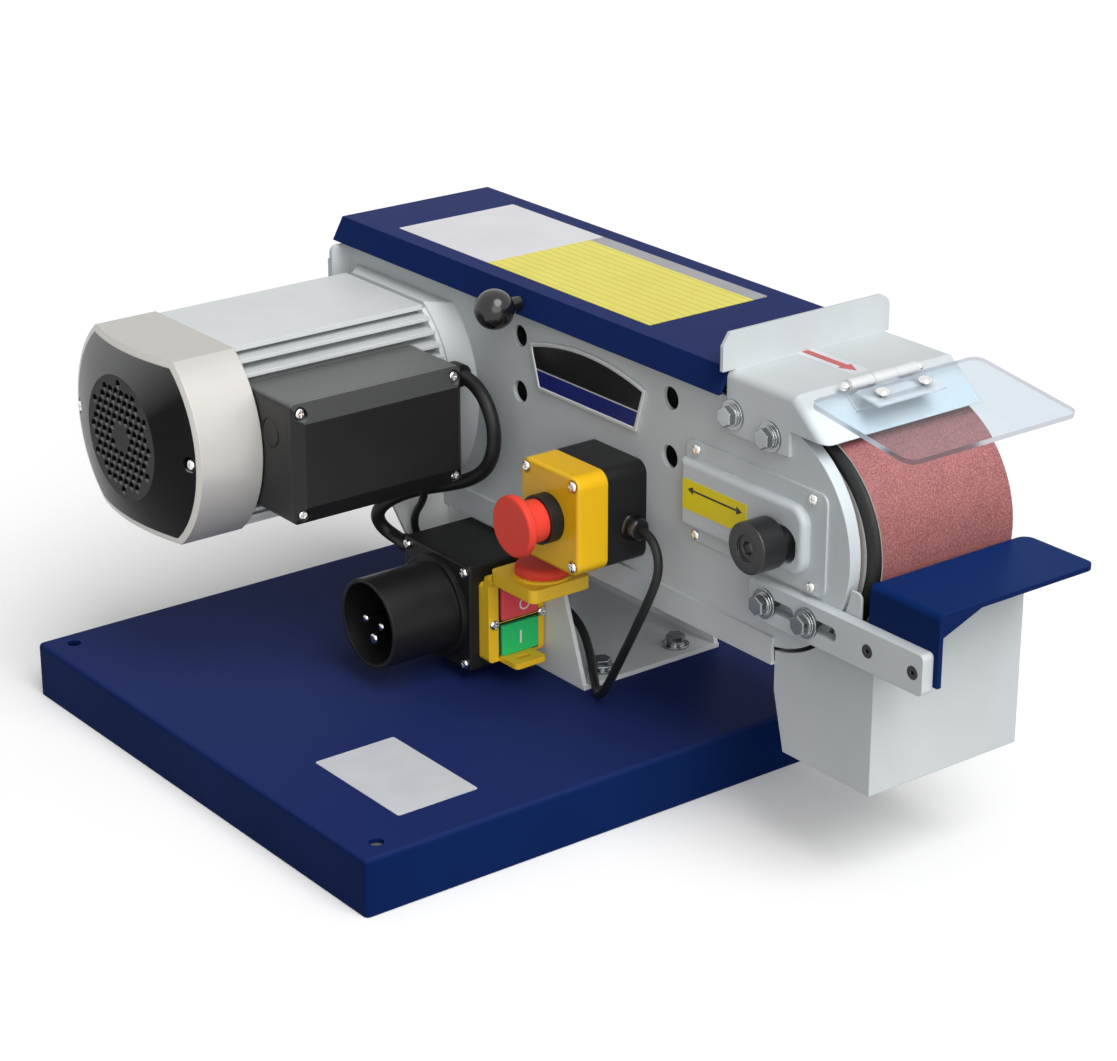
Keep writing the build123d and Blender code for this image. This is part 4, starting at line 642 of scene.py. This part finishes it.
def arrow(length, shaft, head, head_length, double):
    tip = length / 2
    tail = [(-tip, 0), (head_length - tip, head), (head_length - tip, shaft)] if double else [(-tip, shaft)]
    upper = tail + [(tip - head_length, shaft), (tip - head_length, head), (tip, 0)]
    lower = [(x, -y) for x, y in reversed(upper) if y]
    shape = bmesh.new()
    shape.faces.new([shape.verts.new((x, y, 0)) for x, y in upper + lower])
    thicken(shape, STICKER / 2)
    return shape


base_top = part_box("base_tray")[1].z
cover_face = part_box("axle_cover")[0].y
make_piece("rating_plate", rounded_sheet(PLATE_SIZE, PLATE_CORNER, STICKER),
           seat((PLATE_X, PLATE_Y, base_top), FACING_UP), "frame", "grey_paint", plate_white)
make_piece("slide_label", rounded_sheet(LABEL_SIZE, LABEL_CORNER, STICKER),
           seat((LABEL_X, cover_face, LABEL_Z), FACING_MOTOR), "frame", "yellow_plastic", label_yellow)
make_piece("slide_arrow", arrow(length=0.0475, shaft=0.00055, head=0.0024, head_length=0.0048, double=True),
           seat((SLIDE_ARROW_X, cover_face - STICKER, SLIDE_ARROW_Z), FACING_MOTOR), "frame", "black_plastic",
           arrow_ink)
print("rating plate, slide label and its arrow")

# %% [markdown]
# A red arrow on the guard shows which way the belt runs. Laid straight on the grey coat it would look painted, so it
# gets a white backing strip below it, as a sticker has.

# %% Running arrow
RUNNING_X, RUNNING_Y = 0.2425, 0.0865
STRIP_SIZE = (0.0500, 0.0135)
STRIP_CORNER = 0.0006

arrow_red = finish("printed_red", (0.50, 0.075, 0.075), (0.56, 0.095, 0.092), (0.36, 0.46))
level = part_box("top_cover")[1].z
make_piece("running_strip", rounded_sheet(STRIP_SIZE, STRIP_CORNER, STICKER / 2),
           seat((RUNNING_X, RUNNING_Y, level), FACING_UP), "frame", "grey_paint", paper_white)
make_piece("running_arrow", arrow(length=0.0440, shaft=0.0024, head=0.0050, head_length=0.0100, double=False),
           seat((RUNNING_X, RUNNING_Y, level + STICKER / 2), FACING_UP), "frame", "red_plastic", arrow_red)
print("running arrow on its strip")

# %% [markdown]
# ## The badge
# An arched plate with a metal rim sits on the side plate, black above and blue below. A boolean of two plates would
# leave ragged faces, so it grows from four corners: the top edge is divided and raised into an arch, the face is
# thickened, inset for the rim and pushed in.

# %% Badge plate
BADGE_BOTTOM = 0.0475
BADGE_TOP = 0.0563
BADGE_HEIGHT = 0.0280
BADGE_ARCH = 0.0085
ARCH_CUTS = 15
BADGE_RIM = 0.0022
BADGE_STEP = 0.0005
BADGE_THICK = 0.0022

badge = bmesh.new()
badge.faces.new([badge.verts.new(place) for place in ((-BADGE_BOTTOM, 0, 0), (BADGE_BOTTOM, 0, 0),
                                                      (BADGE_TOP, BADGE_HEIGHT, 0), (-BADGE_TOP, BADGE_HEIGHT, 0))])
top_edge = [edge for edge in badge.edges if min(vert.co.y for vert in edge.verts) > BADGE_HEIGHT / 2]
bmesh.ops.subdivide_edges(badge, edges=top_edge, cuts=ARCH_CUTS)
for vert in badge.verts:
    if vert.co.y > BADGE_HEIGHT / 2:
        vert.co.y += BADGE_ARCH * (1 - (vert.co.x / BADGE_TOP) ** 2)
thicken(badge, BADGE_THICK)
front = max(badge.faces, key=lambda face: face.calc_center_median().z)
bmesh.ops.inset_region(badge, faces=[front], thickness=BADGE_RIM, use_even_offset=True)
bmesh.ops.inset_region(badge, faces=[front], thickness=BADGE_STEP, depth=-BADGE_STEP, use_even_offset=True)
print("badge plate with", len(badge.faces), "faces")

# %% [markdown]
# A fine metal line parts the badge's two colours. It could be a strip laid on top, but it is level with them, so two
# planes cut the sunken field and the face between them keeps the metal. Last, the rim's outer edge is beveled.

# %% Badge colours
BAND_HEIGHT = 0.0105
LINE_HEIGHT = 0.0009
SAME_LEVEL = 1e-6
RIM_BEVEL = 0.0005
RIM_ANGLE = math.radians(80)
BADGE_X, BADGE_Z = 0.0900, 0.2230
SIDE_PLATE_FACE = 0.033
METAL, ABOVE, BELOW = range(3)

badge_black = finish("badge_black", (0.010, 0.010, 0.011), (0.014, 0.014, 0.015), (0.20, 0.28))
badge_blue = finish("badge_blue", (0.012, 0.020, 0.16), (0.016, 0.026, 0.19), (0.20, 0.28))
field = BADGE_THICK - BADGE_STEP
line_from = BADGE_RIM + BAND_HEIGHT
line_to = line_from + LINE_HEIGHT


def sunken(face):
    return abs(face.calc_center_median().z - field) < SAME_LEVEL


for cut in (line_from, line_to):
    parts = {part for face in badge.faces if sunken(face) for part in (*face.verts, *face.edges, face)}
    bmesh.ops.bisect_plane(badge, geom=list(parts), dist=CUT_SNAP, plane_co=(0, cut, 0), plane_no=(0, 1, 0))
for face in filter(sunken, badge.faces):
    height = face.calc_center_median().y
    face.material_index = BELOW if height < line_from else METAL if height < line_to else ABOVE
rim_edges = [edge for edge in badge.edges if all(abs(vert.co.z - BADGE_THICK) < SAME_LEVEL for vert in edge.verts)
             and edge.calc_face_angle() > RIM_ANGLE]
bmesh.ops.bevel(badge, geom=rim_edges, offset=RIM_BEVEL, affect="EDGES", segments=2, profile=0.5, material=-1)
make_piece("badge_plate", badge, seat((BADGE_X, SIDE_PLATE_FACE, BADGE_Z), FACING_MOTOR), "frame", "black_plastic",
           satin_nickel, badge_black, badge_blue)
print("badge plate in black and blue")

# %% [markdown]
# ## Marks on the buttons
# The stop button bears an O and the start button an I, printed in white, and each sits in a dark bezel. Text could
# give the letters, but its outlines bring many faces, so the ring starts as a capped circle whose face is inset and
# opened. The bezels are sheets opened in the same way.

# %% Marks and bezels
BEZEL = 0.0012
BEZEL_GAP = 0.0002
BEZEL_THICK = 0.00025
MARK = 0.0002
RING_RADIUS = 0.0039
RING_WIDTH = 0.0009
RING_STEPS = 40
BAR_SIZE = (0.0012, 0.0085)
BAR_CORNER = 0.0002


def opened(shape, border, thick):
    bmesh.ops.inset_region(shape, faces=shape.faces[:], thickness=border, use_boundary=True,
                           use_even_offset=True)
    middle = min(shape.faces, key=lambda face: face.calc_center_median().length)
    bmesh.ops.delete(shape, geom=[middle], context="FACES")
    thicken(shape, thick)
    return shape


def ring():
    disc = bmesh.new()
    bmesh.ops.create_circle(disc, cap_ends=True, radius=RING_RADIUS, segments=RING_STEPS)
    return opened(disc, RING_WIDTH, MARK)


def bar():
    return rounded_sheet(BAR_SIZE, BAR_CORNER, MARK)


def bezel(width, height):
    border = 2 * (BEZEL + BEZEL_GAP)
    return opened(flat_sheet((width + border, height + border)), BEZEL, BEZEL_THICK)


print("ring, bar and bezel are ready")

# %% [markdown]
# The buttons move and their bezels don't, so a mark rides on its button's body and a bezel on the frame. Their places
# could be typed in, but they follow from the buttons' own boxes. The O sits a little below and beside the middle of its
# button.

# %% Button marks
RING_SHIFT = Vector((0, 0.0030, -0.0026))
BAR_SHIFT = Vector((0, 0, 0))
FRAME_FRONT = 0.046

mark_white = printed("mark_white", (0.80, 0.80, 0.80), (0.86, 0.86, 0.86))
for body, mark, shift in (("stop", ring(), RING_SHIFT), ("start", bar(), BAR_SHIFT)):
    low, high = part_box(body + "_button")
    middle = (low + high) / 2
    place = Vector((high.x, middle.y, middle.z)) + shift
    make_piece(body + "_mark", mark, seat(place, FACING_FRONT), body, "grey_paint", mark_white)
    make_piece(body + "_bezel", bezel(high.y - low.y, high.z - low.z),
               seat((FRAME_FRONT, middle.y, middle.z), FACING_FRONT), "frame", "black_plastic", black)
print("button marks and bezels")

# %% [markdown]
# ## Strain relief
# A glossy conical boot closes the hole where the lead leaves the emergency stop box. A cone from create_cone would have
# no lip and no bore, so half of its section, in millimetres, is drawn as a closed line and spun once round the lead's
# axis. Its bore is a little wider than the gland. Sharp edges stay sharp and the rest is smooth.

# %% Strain relief
BOOT_AXIS = Vector((0, 0.022, 0.1685))
BOOT_STEPS = 48
SMOOTH_UNDER = math.radians(40)
BOOT_SECTION = [(146.0, 5.65), (146.0, 8.4), (147.0, 8.4), (147.6, 7.8), (149.4, 7.6), (152.6, 6.9), (154.0, 6.5),
                (154.6, 5.65)]

boot = bmesh.new()
corners = [boot.verts.new(BOOT_AXIS + Vector((forward, 0, out)) * MILLIMETRE) for forward, out in BOOT_SECTION]
sides = [boot.edges.new(pair) for pair in zip(corners, corners[1:] + corners[:1])]
bmesh.ops.spin(boot, geom=corners + sides, cent=BOOT_AXIS, axis=(1, 0, 0), angle=math.tau, steps=BOOT_STEPS,
               use_merge=True)
bmesh.ops.recalc_face_normals(boot, faces=boot.faces[:])
for face in boot.faces:
    face.smooth = True
for edge in boot.edges:
    edge.smooth = edge.calc_face_angle(0.0) < SMOOTH_UNDER
strain_relief = make_piece("strain_relief", boot, Matrix.Identity(4), "frame", "rubber", ball_black)
print("strain relief", len(strain_relief.data.polygons), "faces")

# %% [markdown]
# ## Floor
# A product photograph stands on white paper. More light would whiten a floor too, but it would bleach the machine, so
# the floor is white only where the camera, a reflection or the shield sees it. It is greyer for the light that it
# throws on the machine, so that upright faces keep their shade.

# %% Floor
FLOOR_SIZE = 120.0
FLOOR_DROP = 0.0005
FLOOR_GLOW = 0.10
FLOOR_SEEN = (0.97, 0.97, 0.97)
FLOOR_THROWN = (0.42, 0.42, 0.42)


# One for a ray that the camera sends, straight, off a shiny face or through the shield, and zero for any other
def seen_rays(tree_nodes, links):
    path = tree_nodes.new("ShaderNodeLightPath")
    seen = path.outputs["Is Camera Ray"]
    for kind in ("Is Glossy Ray", "Is Transmission Ray"):
        seen = calculate(tree_nodes, links, "MAXIMUM", seen, path.outputs[kind])
    return seen


floor_mesh = bpy.data.meshes.new("floor")
sheet = flat_sheet((FLOOR_SIZE, FLOOR_SIZE))
sheet.to_mesh(floor_mesh)
sheet.free()
floor = bpy.data.objects.new("floor", floor_mesh)
scene.collection.objects.link(floor)
floor.location = (0, 0, -FLOOR_DROP)
floor_material, tree_nodes, links, shader = new_material("white_floor")
shader.inputs["Roughness"].default_value = 0.8
shader.inputs["Specular IOR Level"].default_value = 0.1
seen = seen_rays(tree_nodes, links)
links.new(mix(tree_nodes, links, seen, FLOOR_THROWN, FLOOR_SEEN), shader.inputs["Base Color"])
links.new(spread(tree_nodes, links, seen, 0.0, FLOOR_GLOW), shader.inputs["Emission Strength"])
shader.inputs["Emission Color"].default_value = (1, 1, 1, 1)
paint(floor, floor_material)
print("floor", FLOOR_SIZE, "m across")

# %% [markdown]
# ## Light
# Large soft lamps light the machine from two sides. Area lamps would leave bright patches on so wide a floor, so they
# are two wide suns, which light it alike everywhere: a high one beyond the contact wheel and a low one in front that
# reaches under the body. The sky is brighter on their side than behind, and white where it is seen.

# %% Lamps and sky
# For each lamp, the way towards it, its strength and its width in degrees
LAMPS = {"key": (Vector((0.60, -0.03, 0.80)), 1.92, 40.0), "front_lamp": (Vector((0.86, -0.38, 0.34)), 1.08, 50.0)}
LAMP_DISTANCE = 3
SKY_FROM = Vector((0.68, -0.06, 0.73))
SKY_BAND = (-0.2, 0.9)
SKY_DARK = 0.06
SKY_BRIGHT = 0.54
SKY_SEEN = 1.0

world = bpy.data.worlds.new("studio")
scene.world = world
world.use_nodes = True
tree_nodes, links = world.node_tree.nodes, world.node_tree.links
look = tree_nodes.new("ShaderNodeTexCoord").outputs["Generated"]
sky = spread(tree_nodes, links, along(tree_nodes, links, look, SKY_FROM), SKY_DARK, SKY_BRIGHT, at=SKY_BAND)
backdrop = tree_nodes.new("ShaderNodeMix")
for name, value in (("Factor", seen_rays(tree_nodes, links)), ("A", sky), ("B", SKY_SEEN)):
    feed(links, backdrop.inputs[name], value)
links.new(backdrop.outputs["Result"], tree_nodes["Background"].inputs["Strength"])
tree_nodes["Background"].inputs["Color"].default_value = (1, 1, 1, 1)

for name, (towards_lamp, strength, width) in LAMPS.items():
    lamp_data = bpy.data.lights.new(name, "SUN")
    lamp_data.energy = strength
    lamp_data.angle = math.radians(width)
    lamp = bpy.data.objects.new(name, lamp_data)
    scene.collection.objects.link(lamp)
    lamp.location = towards_lamp * LAMP_DISTANCE
    lamp.rotation_euler = towards_lamp.to_track_quat("Z", "Y").to_euler()
scene.view_settings.view_transform = "Standard"
print("lamps", list(LAMPS), "and sky")
